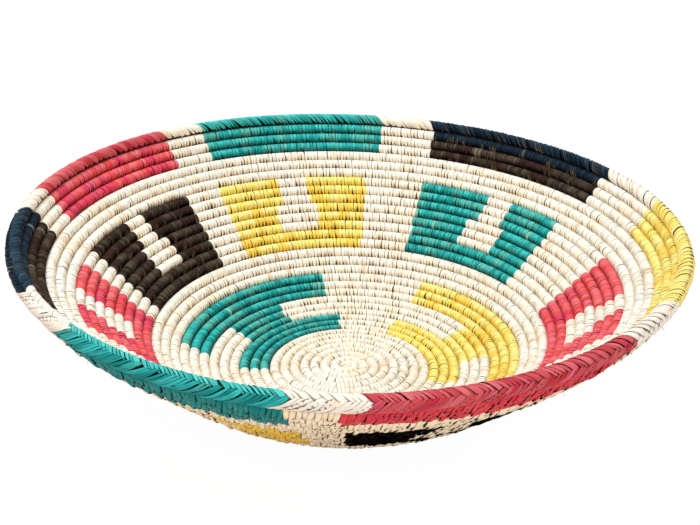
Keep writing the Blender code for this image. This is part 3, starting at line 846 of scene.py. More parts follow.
@dataclass(frozen=True)
class WrapShape:
    """One turn of raffia round a row, sewn through the row inside it.

    A station is its place across, towards the inner rows, and up, into the bowl, both
    in rows, and its width and slant in strand widths.
    """

    stations: tuple[Window, ...] = (
        (-0.490, 0.000, 1.02, -0.06), (-0.440, 0.235, 1.06, -0.05), (-0.300, 0.410, 1.07, -0.03),
        (-0.105, 0.490, 1.06, -0.01), (0.105, 0.490, 1.05, 0.01), (0.300, 0.410, 1.00, 0.03),
        (0.440, 0.255, 0.91, 0.05), (0.495, 0.060, 0.76, 0.10), (0.640, -0.200, 0.72, 0.28),
        (0.790, -0.430, 0.72, 0.46), (0.700, -0.505, 0.92, 0.44), (0.450, -0.520, 1.04, 0.28),
        (0.150, -0.515, 1.08, 0.12), (-0.150, -0.480, 1.08, 0.02), (-0.380, -0.320, 1.05, -0.04))
    outer_stations: range = range(8, 15)
    swelling_stations: range = range(9, 14)
    outer_swell: float = 0.09
    swells: Pair = (-0.4, 1.0)
    crown: float = 0.030
    crowns: Pair = (0.85, 1.3)
    leans: Pair = (-0.45, 0.45)
    waves: Triple = (0.05, 0.05, 0.02)
    variants: int = 7
    seed: int = 11

    def build(self) -> list[bpy.types.Mesh]:
        """The turn in several slightly different shapes."""
        rng = random.Random(self.seed)
        meshes = []
        count = len(self.stations)
        for variant in range(self.variants):
            phases = [rng.uniform(0.0, math.tau) for _ in self.waves]
            lean = rng.uniform(*self.leans)
            crown = self.crown * rng.uniform(*self.crowns)
            swell = rng.uniform(*self.swells) * self.outer_swell
            strap = StrapMesh()
            middles, sides, rises = [], [], []
            for index, (across, up, width, slant) in enumerate(self.stations):
                turn = math.tau * index / count
                before, after = self.stations[index - 1], self.stations[(index + 1) % count]
                run = Vector((after[0] - before[0], 0.0, after[1] - before[1])).normalized()
                wide, slow, quick = (wave * math.sin(turn * pace + phase) for wave, pace, phase
                                     in zip(self.waves, (2.0, 1.0, 3.0), phases))
                low = swell if index in self.swelling_stations else 0.0
                middles.append(Vector((across, slant + slow + quick, up - low)))
                sides.append(Vector((0.0, width * (1.0 + wide), 0.0)))
                rises.append(Vector((-run.z, 0.0, run.x)) * crown)
            outer = [float(index in self.outer_stations) for index in range(count)]
            strap.strap(middles, sides, rises, lean, closed=True, outer=outer)
            meshes.append(strap.finish(f"wrap_shape_{variant + 1}"))
        return meshes


@dataclass(frozen=True)
class Leg:
    """A plaited strand that runs slanting round the edge.

    Turns round the last row are in degrees from straight into the bowl and grow over
    the top to the outside; one of the two varies.  Start and run are along the rim,
    and bend is how much of the run comes late.  Dips say how deep its ends sink.
    """

    turns: Pair
    loose_end: int
    turn_play: Pair
    start: float
    run: float
    bend: float
    width: float
    width_play: Pair
    lean_play: Pair
    dips: Pair
    outside: float


@dataclass(frozen=True)
class ChevronShape:
    """One step of the herringbone braid: a strand over the inside and one over the outside.

    Finer lists the variants that have two narrow strands for one, on each side.  A
    taper is the width share at a strand's end and how fast it grows from there, and
    dip rates are how fast its ends rise out of the braid.
    """

    legs: tuple[Leg, Leg] = (
        Leg(turns=(-66.0, 122.0), loose_end=0, turn_play=(-7.0, 7.0), start=-5.75 * MM, run=12.0 * MM,
            bend=0.25, width=4.4 * MM, width_play=(0.94, 1.2), lean_play=(0.2, 0.8),
            dips=(0.5 * MM, 0.9 * MM), outside=0.0),
        Leg(turns=(88.0, 236.0), loose_end=1, turn_play=(-14.0, 8.0), start=7.4 * MM, run=-18.0 * MM,
            bend=0.55, width=3.9 * MM, width_play=(0.9, 1.25), lean_play=(-0.7, -0.2),
            dips=(0.8 * MM, 0.5 * MM), outside=1.0))
    finer: tuple[tuple[int, ...], ...] = ((1, 4, 6), (1, 2, 4, 6))
    fill: float = 1.0
    period: float = 4.9 * MM
    shift: Pair = (-0.4, 0.4)
    radius: float = 4.35 * MM
    crown: float = 0.34 * MM
    tapers: tuple[Pair, Pair] = ((0.55, 1.3), (0.5, 2.0))
    dip_rates: Pair = (5.0, 4.0)
    outer_start: float = 0.25
    core_radius: float = 3.3 * MM
    core_crown: float = 0.3
    core_overlap: float = 1.04
    core_sides: int = 10
    steps: int = 9
    variants: int = 8
    seed: int = 23

    def _leg(self, strap: StrapMesh, leg: Leg, place: float, halves: int, rng: random.Random) -> None:
        """Add one strand.

        Args:
            strap: Mesh that it goes into.
            leg: Its sizes.
            place: Place along the rim where it starts.
            halves: How many strands stand for one.
            rng: Source of its random numbers.
        """
        turns = list(leg.turns)
        turns[leg.loose_end] += rng.uniform(*leg.turn_play)
        width = leg.width * self.fill / halves * rng.uniform(*leg.width_play)
        lean, ply = rng.uniform(*leg.lean_play), rng.random()
        spots = []
        for step in range(self.steps):
            share = step / (self.steps - 1)
            turn = math.radians(turns[0] + (turns[1] - turns[0]) * share)
            spots.append((share, turn, place + leg.run * share * (1.0 - leg.bend + leg.bend * share)))
        middles, sides, rises = [], [], []
        for index, (share, turn, reach) in enumerate(spots):
            late = 1.0 - self.dip_rates[1]
            sink = leg.dips[0] * max(1.0 - share * self.dip_rates[0], 0.0)
            sink += leg.dips[1] * max(share * self.dip_rates[1] + late, 0.0)
            out = Vector((-math.sin(turn), 0.0, math.cos(turn)))
            before, after = spots[max(index - 1, 0)], spots[min(index + 1, self.steps - 1)]
            arc = (after[1] - before[1]) * self.radius
            round_way = Vector((-math.cos(turn), 0.0, -math.sin(turn)))
            path = (round_way * arc + Vector((0.0, before[2] - after[2], 0.0))).normalized()
            first, last = self.tapers
            taper = min(first[0] + first[1] * share, 1.0) * min(last[0] + last[1] * (1.0 - share), 1.0)
            middles.append(out * (self.radius - sink) + Vector((0.0, -reach, 0.0)))
            sides.append(out.cross(path) * width * taper)
            rises.append(out * self.crown)
        outer = [leg.outside * min(self.outer_start + share, 1.0) for share, _, _ in spots]
        strap.strap(middles, sides, rises, lean, outer=outer, ply=ply)

    def build(self) -> list[bpy.types.Mesh]:
        """The step in several slightly different shapes, in metres."""
        rng = random.Random(self.seed)
        turns = [math.tau * side / self.core_sides for side in range(self.core_sides)]
        ring = [Vector((-math.sin(turn), 0.0, math.cos(turn))) for turn in turns]
        along = Vector((0.0, -self.period * self.core_overlap, 0.0))
        meshes = []
        for variant in range(self.variants):
            strap = StrapMesh(plait=1.0)
            # Core ring under the braid's strands, marked under so that it takes painted shade.
            strap.strap([out * self.core_radius for out in ring], [along] * self.core_sides,
                        [out * self.core_crown * MM for out in ring], closed=True, under=1.0)
            near = rng.uniform(*self.shift) * MM
            for leg, finer in zip(self.legs, self.finer):
                halves = 2 if variant in finer else 1
                for half in range(halves):
                    aside = ((half + 0.5) / halves - 0.5) * self.period
                    self._leg(strap, leg, near + leg.start + aside, halves, rng)
            meshes.append(strap.finish(f"chevron_shape_{len(self.finer[0])}_{variant + 1}"))
        return meshes


@dataclass(frozen=True)
class SewingSettings:
    """Numbers that the sewing tree takes for one piece, named like its inputs."""

    strand_width: float = 2.5 * MM
    width_low: float = 0.95
    width_high: float = 1.07
    drift: float = 0.08
    turn_jitter: float = 5.5
    lift_jitter: float = 0.02
    least_height: float = 0.01 * MM
    floor_start: float = 1.4 * MM
    floor_press: float = 0.46
    lot_scale: float = 70.0

    @staticmethod
    def title(name: str) -> str:
        """Name of the tree's input for a setting."""
        return name.replace("_", " ").title()


class StrandTree:
    """Geometry Nodes tree with named inputs that dresses the rows of a guide."""

    NAME = ""
    INPUTS: dict[str, str] = {}

    def __init__(self) -> None:
        """Make the tree with its inputs, and fill it."""
        self.tree = bpy.data.node_groups.new(self.NAME, "GeometryNodeTree")
        self.graph = Graph(self.tree)
        face = self.tree.interface
        for way in ("INPUT", "OUTPUT"):
            face.new_socket("Geometry", in_out=way, socket_type="NodeSocketGeometry")
        self.keys = {name: face.new_socket(name, in_out="INPUT", socket_type=f"NodeSocket{kind}").identifier
                     for name, kind in self.INPUTS.items()}
        source = self.graph.add("NodeGroupInput")
        given = {name: Wire(self.graph, source.outputs[name]) for name in ("Geometry", *self.keys)}
        self.graph.add("NodeGroupOutput", {}, {"Geometry": self._fill(given)})

    def _fill(self, given: dict[str, Wire]) -> Wire:
        """Add the tree's nodes and return the dressed rows."""
        raise NotImplementedError

    def _named(self, name: str, kind: str = "FLOAT") -> Wire:
        """One attribute of the geometry."""
        return self.graph.node("GeometryNodeInputNamedAttribute", {"data_type": kind}, {"Name": name})

    def _store(self, geometry: Wire, name: str, value: Wire, domain: str, kind: str = "FLOAT") -> Wire:
        """Keep a value on the geometry under a name."""
        return self.graph.node("GeometryNodeStoreNamedAttribute", {"data_type": kind, "domain": domain},
                               {"Geometry": geometry, "Name": name, "Value": value})

    def _rows(self, guide: Wire, length: Wire) -> Wire:
        """The guide's rows as curves with points at a spacing."""
        rows = self.graph.node("GeometryNodeMeshToCurve", {}, {"Mesh": guide})
        return self.graph.node("GeometryNodeResampleCurve", {"mode": "LENGTH"},
                               {"Curve": rows, "Length": length})

    def _paint(self, geometry: Wire, material: Wire) -> Wire:
        """The geometry with its material."""
        return self.graph.node("GeometryNodeSetMaterial", {}, {"Geometry": geometry, "Material": material})


class SewingTree(StrandTree):
    """Tree that sets one strand shape after another along a row."""

    NAME = "strand_sewing"
    INPUTS = {
        "Shapes": "Collection", "Shape Count": "Int",
        **{SewingSettings.title(item.name): "Float" for item in fields(SewingSettings)},
        "Cells Across": "Int", "Cells Up": "Int", "Seed": "Int", "Strand Material": "Material"}
    TURNS = ((-0.3, 0.3), (-1.0, 1.0), (-1.0, 1.0))
    LOTS = (0.30, 0.70)
    CELL_START = (0.02, 0.03)
    CELL_SIZE = (0.96, 0.94)

    def _random(self, low: Value, high: Value, seed: Wire, kind: str = "FLOAT") -> Wire:
        """Random value of each strand."""
        sockets = {"Min": low, "Max": high, "Seed": seed}
        return self.graph.node("FunctionNodeRandomValue", {"data_type": kind}, sockets)

    def _fill(self, given: dict[str, Wire]) -> Wire:
        """Add the nodes that place, turn, press and mark the strands.

        Args:
            given: The tree's inputs.

        Returns:
            The strands.
        """
        graph, seed = self.graph, given["Seed"]
        rows = self._rows(given["Geometry"], given["Strand Width"])
        measure = graph.add("GeometryNodeSplineLength").outputs
        length, points = (Wire(graph, measure[name]) for name in ("Length", "Point Count"))
        spacing = length / (points - 1.0).most(1.0)
        along = self._named("along", "FLOAT_VECTOR")
        drift = self._random(given["Drift"] * -1.0, given["Drift"], seed + 1.0) * spacing
        slide = graph.node("ShaderNodeVectorMath", {"operation": "SCALE"}, {"Vector": along, "Scale": drift})
        rows = graph.node("GeometryNodeSetPosition", {}, {"Geometry": rows, "Offset": slide})
        shapes = graph.node("GeometryNodeCollectionInfo", {}, {
            "Collection": given["Shapes"], "Separate Children": True, "Reset Children": True})
        facing = graph.node("FunctionNodeAxesToRotation", {"primary_axis": "Z", "secondary_axis": "Y"}, {
            "Primary Axis": self._named("lift", "FLOAT_VECTOR"), "Secondary Axis": along})
        jitter = given["Turn Jitter"] * math.radians(1.0)
        turn = graph.vector(*(self._random(*ends, seed + float(number)) * jitter
                              for number, ends in enumerate(self.TURNS, 2)))
        turned = graph.node("FunctionNodeEulerToRotation", {}, {"Euler": turn})
        facing = graph.node("FunctionNodeRotateRotation", {"rotation_space": "LOCAL"},
                            {"Rotation": facing, "Rotate By": turned})
        swell = self._random(given["Lift Jitter"] * -1.0, given["Lift Jitter"], seed + 5.0) + 1.0
        width = self._random(given["Width Low"], given["Width High"], seed + 6.0) * spacing
        size = graph.vector(self._named("breadth"), width * self._named("flare"),
                            self._named("depth") * swell)
        pick = self._random(0, given["Shape Count"] - 1.0, seed + 7.0, "INT")
        wraps = graph.node("GeometryNodeInstanceOnPoints", {}, {
            "Points": rows, "Instance": shapes, "Pick Instance": True, "Instance Index": pick,
            "Rotation": facing, "Scale": size})
        where = graph.node("GeometryNodeInputPosition")
        lots = graph.stretch(graph.noise(where, given["Lot Scale"], 1.0, 0.5), *self.LOTS)
        for name, value in (("tone", self._random(0.0, 1.0, seed + 8.0)), ("lot", lots),
                            ("grain", self._random(*GRAINS, seed + 9.0)),
                            ("turn", graph.node("GeometryNodeInputIndex"))):
            wraps = self._store(wraps, name, value, "INSTANCE")
        wraps = graph.node("GeometryNodeRealizeInstances", {}, {"Geometry": wraps})
        height, start = where.part(2), given["Floor Start"]
        pressed = height.most(start) + (height.least(start) - start) * given["Floor Press"]
        moved = graph.vector(where.part(0), where.part(1), pressed.most(given["Least Height"]))
        wraps = graph.node("GeometryNodeSetPosition", {}, {"Geometry": wraps, "Position": moved})
        cell, columns = self._named("turn"), given["Cells Across"]
        strand = self._named("strand", "FLOAT_VECTOR")
        u, v = (start + strand.part(axis) * share for axis, (start, share)
                in enumerate(zip(self.CELL_START, self.CELL_SIZE)))
        cells = graph.vector((cell % columns + u) / columns,
                             ((cell / columns).floor() + v) / given["Cells Up"])
        wraps = self._store(wraps, "OFBake", cells, "CORNER", "FLOAT2")
        return self._paint(wraps, given["Strand Material"])


class CoreTree(StrandTree):
    """Tree that sweeps the grass bundle along every row."""

    NAME = "grass_core"
    INPUTS = {"Bundle Share": "Float", "Step": "Float", "Sides": "Int", "Grass Material": "Material"}

    def _fill(self, given: dict[str, Wire]) -> Wire:
        """Add the nodes of the sweep.

        Args:
            given: The tree's inputs.

        Returns:
            The bundle.
        """
        graph = self.graph
        rows = self._rows(given["Geometry"], given["Step"])
        breadth = self._named("breadth")
        distance = graph.node("GeometryNodeSplineParameter", {}, {}, "Length")
        rows = self._store(rows, "distance", distance, "POINT")
        ring = graph.node("GeometryNodeCurvePrimitiveCircle", {"mode": "RADIUS"},
                          {"Resolution": given["Sides"], "Radius": 1.0})
        round_way = graph.node("GeometryNodeSplineParameter", {}, {}, "Factor")
        ring = self._store(ring, "round_way", round_way, "POINT")
        swept = graph.node("GeometryNodeCurveToMesh", {}, {
            "Curve": rows, "Profile Curve": ring, "Scale": breadth * given["Bundle Share"],
            "Fill Caps": True})
        strand = graph.vector(self._named("distance"), self._named("round_way"))
        swept = self._store(swept, "strand", strand, "CORNER", "FLOAT2")
        swept = graph.node("GeometryNodeRealizeInstances", {}, {"Geometry": swept})
        return self._paint(swept, given["Grass Material"])


@dataclass
class Workshop:
    """Shapes, trees and strands that every sub-assembly is made with.

    Cell ratios are how long a strand's cell of the OFBake layout is to its width, for
    wraps and for the braid.
    """

    form: BowlForm = BowlForm()
    wrap: WrapShape = WrapShape()
    chevron: ChevronShape = ChevronShape()
    fine_chevron: ChevronShape = ChevronShape(finer=((0, 1, 2, 4, 6, 7), (0, 1, 3, 4, 6, 7)), fill=0.8)
    made: list[bpy.types.Object] = field(default_factory=list)
    guide_step: float = 4.0 * MM
    guide_turn: float = 20.0
    least_radius: float = 1.5 * MM
    edge_spread: float = 0.9 * MM
    edge_seeds: float = 2.0 * ROUND
    fine_dyes: tuple[Dye, ...] = (Dye.TEAL, Dye.NAVY)
    cell_ratios: Pair = (5.0, 3.0)

    def __post_init__(self) -> None:
        """Make the shared shapes, trees and materials."""
        self.wrap_shapes = self._shelf("wrap_shapes", self.wrap.build())
        self.broad_chevrons = self._shelf("broad_chevrons", self.chevron.build())
        self.finer_chevrons = self._shelf("finer_chevrons", self.fine_chevron.build())
        self.sewing, self.core = SewingTree(), CoreTree()
        self.strands = {dye: finish.dress(dye.slot) for dye, finish in FINISHES.items()}
        self.grass = GrassFinish().dress("grass_bundle")

    @staticmethod
    def _shelf(name: str, meshes: list[bpy.types.Mesh]) -> bpy.types.Collection:
        """Collection outside the scene, with the shapes that a tree picks from."""
        shapes = bpy.data.collections.new(name)
        for mesh in meshes:
            shapes.objects.link(bpy.data.objects.new(mesh.name, mesh))
        return shapes

    def clear_shapes(self) -> None:
        """Remove the shapes that the trees picked from."""
        for shapes in (self.wrap_shapes, self.broad_chevrons, self.finer_chevrons):
            for shape in list(shapes.objects):
                bpy.data.objects.remove(shape)
            bpy.data.collections.remove(shapes)

    def edge_angle(self, row: int, angle: float) -> float:
        """Where the colour really changes, a little off its ruled place.

        Args:
            row: Number of the row.
            angle: Ruled angle of the change.

        Returns:
            The angle of the change, the same for the pieces on both sides.
        """
        centre = self.form.row_centre(row, angle)[0]
        rng = random.Random(round(centre * self.edge_seeds))
        radius = max(self.form.profile_at(centre)[0], MM)
        return angle + math.degrees(rng.uniform(-self.edge_spread, self.edge_spread) / radius)

    def _degrees(self, length: float, row: int, angle: float) -> float:
        """Angle that a length takes at a place of a row."""
        radius = self.form.profile_at(self.form.row_centre(row, angle)[0])[0]
        return math.degrees(length / max(radius, self.least_radius))

    def guide(self, name: str, spans: list[Span], trim: float, braid: bool = False) -> bpy.types.Object:
        """Chain mesh along rows, with the frame of each point.

        Args:
            name: Name of the object.
            spans: The rows' stretches.
            trim: Length that is left out at both ends of each.
            braid: Whether it guides the braid, whose shapes are in metres already.

        Returns:
            The guide, linked into the scene.
        """
        points: list[RowPoint] = []
        edges: list[tuple[int, int]] = []
        for span in spans:
            turn = span.start + self._degrees(trim, span.row, span.start)
            end = span.end - self._degrees(trim, span.row, span.end)
            if end <= turn:
                continue
            first = len(points)
            stops = []
            while turn < end:
                stops.append(turn)
                turn += min(self._degrees(self.guide_step, span.row, turn), self.guide_turn)
            for stop in (*stops, end):
                point = self.form.row_point(span.row, stop, span.aside, span.sink)
                points.append(point.turned(self.form.braid_turn(stop)) if braid else point)
            edges += [(index, index + 1) for index in range(first, len(points) - 1)]
        mesh = bpy.data.meshes.new(name)
        mesh.from_pydata([tuple(point.place) for point in points], edges, [])
        for key in ("lift", "along"):
            layer = mesh.attributes.new(key, "FLOAT_VECTOR", "POINT")
            layer.data.foreach_set("vector", [part for point in points for part in getattr(point, key)])
        for key in ("breadth", "depth", "flare"):
            layer = mesh.attributes.new(key, "FLOAT", "POINT")
            layer.data.foreach_set("value", [1.0 if braid else getattr(point, key) for point in points])
        return stand(name, mesh)

    @staticmethod
    def bake_tree(piece: bpy.types.Object, tree: StrandTree, values: dict) -> None:
        """Run a tree on a guide and keep its result as the plain mesh.

        Args:
            piece: The guide, which becomes the piece.
            tree: The tree.
            values: Its inputs, by name.
        """
        modifier = piece.modifiers.new("strands", "NODES")
        modifier.node_group = tree.tree
        for name, value in values.items():
            modifier[tree.keys[name]] = value
        graph = bpy.context.evaluated_depsgraph_get()
        graph.update()
        result = piece.evaluated_get(graph)
        mesh = bpy.data.meshes.new_from_object(result, preserve_all_data_layers=True, depsgraph=graph)
        piece.modifiers.remove(modifier)
        old = piece.data
        piece.data = mesh
        bpy.data.meshes.remove(old)
        mesh.name = piece.name

    def sew(self, name: str, spans: list[Span], dye: Dye, nodes: list[str],
            braid: SewingSettings | None = None) -> None:
        """Dress rows with strands, as one piece.

        Args:
            name: Name of the piece.
            spans: The rows' stretches.
            dye: Colour of the strand.
            nodes: CAD nodes that the piece stands for.
            braid: Sizes of the braid, where the strands are the braid's.
        """
        settings = braid or SewingSettings()
        ruled = [Span(s.row, self.edge_angle(s.row, s.start), self.edge_angle(s.row, s.end)) for s in spans]
        piece = self.guide(name, ruled, settings.strand_width / 2.0, braid=bool(braid))
        ends = [[piece.data.vertices[index].co for index in edge.vertices] for edge in piece.data.edges]
        run = sum((second - first).length for first, second in ends)
        count = max(int(run / settings.strand_width) + 2 * len(spans), 4)
        across = max(round(math.sqrt(count / self.cell_ratios[bool(braid)])), 1)
        shapes = self.wrap_shapes
        values = {settings.title(key): value for key, value in asdict(settings).items()}
        if braid:
            shapes = self.finer_chevrons if dye in self.fine_dyes else self.broad_chevrons
            for key in ("Width Low", "Width High"):
                values[key] *= 1.0 / settings.strand_width
        values |= {
            "Shapes": shapes, "Shape Count": len(shapes.objects), "Cells Across": across,
            "Cells Up": math.ceil(count / across), "Seed": sum(map(ord, name)),
            "Strand Material": self.strands[dye]}
        self.bake_tree(piece, self.sewing, values)
        self.finish_piece(piece, dye.slot, nodes)

    def lay(self, name: str, strands: StrapMesh, dye: Dye, nodes: list[str]) -> None:
        """Put strands that were shaped one by one into the scene, as one piece."""
        mesh = strands.finish(name, self.strands[dye])
        self.finish_piece(stand(name, mesh), dye.slot, nodes)

    def finish_piece(self, piece: bpy.types.Object, slot: str, nodes: list[str]) -> None:
        """Tie a piece to the bowl and report it.

        Args:
            piece: The piece.
            slot: Its material slot; not used.
            nodes: CAD nodes that it stands for.
        """
        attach(piece, BODY)
        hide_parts(*nodes)
        self.made.append(piece)
        LOG.info("%s: %d faces, stands for %d nodes", piece.name, len(piece.data.polygons), len(nodes))


@dataclass(frozen=True)
class SubAssembly:
    """A part of the bowl with its own sizes, made in the workshop."""

    shop: Workshop


@dataclass(frozen=True)
class Frays(SubAssembly):
    """Short loose ends of strand that stand off the bowl's outer side."""

    spacing: float = 8.0 * MM
    first_gaps: Pair = (0.3, 1.0)
    gaps: Pair = (0.4, 1.6)
    reach: Pair = (1.0 * MM, 3.4 * MM)
    width: Pair = (0.25 * MM, 0.7 * MM)
    turns: Pair = (165.0, 238.0)
    outwards: Pair = (0.3, 0.9)
    onwards: Pair = (-1.0, 1.0)
    side_bend: Pair = (-0.4, 0.4)
    back_bend: Pair = (0.0, 0.3)
    taper: float = 0.75
    thickness: float = 0.06 * MM
    steps: int = 5
    seed: int = 61

    def _end(self, ends: StrapMesh, point: RowPoint, radius: float, rng: random.Random) -> None:
        """Add one loose end.

        Args:
            ends: Mesh that it goes into.
            point: The row where it comes out.
            radius: How far from the row's centre it starts.
            rng: Source of its random numbers.
        """
        turn = math.radians(rng.uniform(*self.turns))
        out = point.lift * math.cos(turn) - point.along.cross(point.lift) * math.sin(turn)
        way = (out * rng.uniform(*self.outwards) + point.along * rng.uniform(*self.onwards)).normalized()
        across = way.cross(out).normalized()
        length, width = rng.uniform(*self.reach), rng.uniform(*self.width)
        bend = across * rng.uniform(*self.side_bend) - out * rng.uniform(*self.back_bend)
        shares = [step / (self.steps - 1) for step in range(self.steps)]
        start = point.place + out * radius
        ends.strap([start + (way * share + bend * share * share) * length for share in shares],
                   [across * width * (1.0 - self.taper * share) for share in shares],
                   [across.cross(way) * self.thickness] * self.steps,
                   mark=(rng.random(), rng.uniform(*GRAINS)), outer=[1.0] * self.steps)

    def build(self, name: str, spans: list[Span], dye: Dye, nodes: list[str]) -> None:
        """Add the loose ends along some rows.

        Args:
            name: Name of the piece.
            spans: Stretches of rows that fray.
            dye: Their colour.
            nodes: CAD nodes that the strands belong to.
        """
        rng = random.Random(f"{self.seed} {name}")
        ends = StrapMesh(plait=1.0)
        for span in spans:
            point = self.shop.form.row_point(span.row, span.start)
            step = math.degrees(self.spacing / math.hypot(point.place.x, point.place.y))
            angle = span.start + step * rng.uniform(*self.first_gaps)
            while angle < span.end:
                point = self.shop.form.row_point(span.row, angle)
                braid = span.row == self.shop.form.rim_row
                self._end(ends, point, self.shop.chevron.radius if braid else point.depth * 0.5, rng)
                angle += step * rng.uniform(*self.gaps)
        self.shop.lay(name, ends, dye, nodes)


@dataclass(frozen=True)
class NaturalCoils(SubAssembly):
    """The undyed rows that run right round the bowl, and the knot where they start.

    Each coil has the row and the angle where it starts, and those where it ends.
    """

    coils: tuple[tuple[str, Pair, Pair], ...] = (
        ("start_knot", (0.20, 0.0), (0.927, 0.0)),
        ("base_coil", (0.927, 0.0), (8.0, -39.0)),
        ("lower_coil", (17.0, -39.0), (19.0, 356.0)),
        ("upper_coil", (27.0, 356.0), (30.0, 354.0)),
    )
    knot_strands: int = 9
    knot_steps: int = 9
    knot_reach: float = 4.8 * MM
    knot_width: float = 2.6 * MM
    knot_crown: float = 0.20 * MM
    knot_lean: float = 0.1
    knot_top: float = 5.5 * MM
    knot_layer: float = 0.06 * MM
    knot_drop: float = 1.3 * MM
    knot_turn: Pair = (-0.15, 0.15)
    knot_aside: Pair = (-0.5, 0.5)
    seed: int = 5

    def build(self) -> None:
        """Sew the three coils and the start knot."""
        for node, *ends in self.coils:
            span = Span(0, *((row + angle / ROUND) * ROUND for row, angle in ends))
            self.shop.sew(f"{node}_wraps", [span], Dye.NATURAL, [node])
        self._knot()

    def _knot(self) -> None:
        """Cross a few strands over the middle, where the coil starts."""
        rng = random.Random(self.seed)
        knot = StrapMesh(plait=1.0)
        for number in range(self.knot_strands):
            turn = math.pi * number / self.knot_strands + rng.uniform(*self.knot_turn)
            way = Vector((math.cos(turn), math.sin(turn), 0.0))
            across = Vector((-way.y, way.x, 0.0))
            aside = across * rng.uniform(*self.knot_aside) * MM
            middles = []
            for step in range(self.knot_steps):
                share = 2.0 * step / (self.knot_steps - 1) - 1.0
                height = self.knot_top + self.knot_layer * number - self.knot_drop * share ** 4
                middles.append(way * self.knot_reach * share + aside + Vector((0.0, 0.0, height)))
            knot.strap(middles, [across * self.knot_width] * self.knot_steps,
                       [Vector((0.0, 0.0, self.knot_crown))] * self.knot_steps, self.knot_lean,
                       mark=(rng.random(), rng.uniform(*GRAINS)))
        self.shop.lay("start_knot_cross", knot, Dye.NATURAL, ["start_knot"])


@dataclass(frozen=True)
class InnerRing(SubAssembly):
    """Three figures at the floor's edge with a narrow waist, and the stretches between."""

    figures: tuple[tuple[Dye, Pair, Pair, Pair], ...] = (
        (Dye.RED, (-39.0, 47.0), (-12.0, 20.0), (-39.0, 47.0)),
        (Dye.TEAL, (80.0, 171.0), (111.2, 142.3), (85.0, 166.3)),
        (Dye.YELLOW, (205.5, 287.5), (239.4, 266.0), (206.0, 289.0)),
    )
    first_row: int = 8
    group_rows: int = 3
    seam: float = 321.0

    def rows(self, index: int) -> dict[int, Pair]:
        """Rows of one figure with their ends."""
        groups = self.figures[index][1:]
        return {self.first_row + self.group_rows * g + r: groups[g]
                for g in range(len(groups)) for r in range(self.group_rows)}

    def ground(self, left: dict[int, Pair], right: dict[int, Pair]) -> list[Span]:
        """Stretches from the end of one figure to the start of the next.

        Args:
            left: Rows of the figure before.
            right: Rows of the figure after.

        Returns:
            The stretches; past the seam each row is counted one lower.
        """
        if min(ends[0] for ends in right.values()) > min(ends[0] for ends in left.values()):
            return [Span(row, left[row][1], right[row][0]) for row in left]
        spans = []
        for row in range(min(left) - 1, max(left) + 1):
            start = left[row][1] if row in left else self.seam
            end = right[row + 1][0] + ROUND if row + 1 in right else self.seam
            if end > start:
                spans.append(Span(row, start, end))
        return spans

    def build(self) -> None:
        """Sew the figures and one piece of ground for the three stretches."""
        ground: list[Span] = []
        for index, (dye, *_) in enumerate(self.figures):
            rows = self.rows(index)
            node = f"inner_figure_{index + 1}_{dye.value}"
            self.shop.sew(f"{node}_wraps", [Span(row, *ends) for row, ends in rows.items()], dye, [node])
            ground += self.ground(rows, self.rows((index + 1) % len(self.figures)))
        nodes = [f"inner_ground_{index + 1}" for index in range(len(self.figures))]
        self.shop.sew("inner_ground_wraps", ground, Dye.NATURAL, nodes)


@dataclass(frozen=True)
class WallRing(SubAssembly):
    """Seven stepped figures of the wall, their notches, and the ground between them.

    Each figure has its ends, and the ends of its notch where that is wide and narrow.
    """

    figures: tuple[tuple[Dye, Pair, Pair, Pair], ...] = (
        (Dye.YELLOW, (4.0, 43.0), (18.0, 29.5), (20.2, 27.2)),
        (Dye.RED, (57.0, 86.7), (66.3, 75.7), (67.9, 74.7)),
        (Dye.BLACK, (93.3, 131.3), (107.9, 118.2), (109.7, 115.8)),
        (Dye.YELLOW, (141.0, 180.8), (155.4, 167.1), (157.8, 165.2)),
        (Dye.TEAL, (196.1, 237.0), (211.7, 223.7), (214.4, 221.8)),
        (Dye.RED, (258.8, 296.0), (273.7, 286.9), (276.9, 283.9)),
        (Dye.BLACK, (318.0, 356.0), (330.5, 342.5), (333.1, 340.0)),
    )
    full_rows: tuple[int, ...] = (20, 21)
    wide_rows: tuple[int, ...] = (22, 23, 24)
    narrow_rows: tuple[int, ...] = (25, 26, 27)

    def build(self) -> None:
        """Sew the figures, one piece of notches and one of ground."""
        notches: list[Span] = []
        ground: list[Span] = []
        every_row = self.full_rows + self.wide_rows + self.narrow_rows
        before = self.figures[-1][1][1] - ROUND
        for index, (dye, ends, wide, narrow) in enumerate(self.figures):
            spans = [Span(row, *ends) for row in self.full_rows]
            for rows, gap in ((self.wide_rows, wide), (self.narrow_rows, narrow)):
                for row in rows:
                    spans += [Span(row, ends[0], gap[0]), Span(row, gap[1], ends[1])]
                    notches.append(Span(row, *gap))
            node = f"figure_{index + 1}_{dye.value}"
            self.shop.sew(f"{node}_wraps", spans, dye, [node])
            ground += [Span(row, before, ends[0]) for row in every_row]
            before = ends[1]
        numbers = range(1, len(self.figures) + 1)
        self.shop.sew("figure_notch_wraps", notches, Dye.NATURAL, [f"figure_{n}_notch" for n in numbers])
        self.shop.sew("ground_wraps", ground, Dye.NATURAL, [f"ground_{n}" for n in numbers])


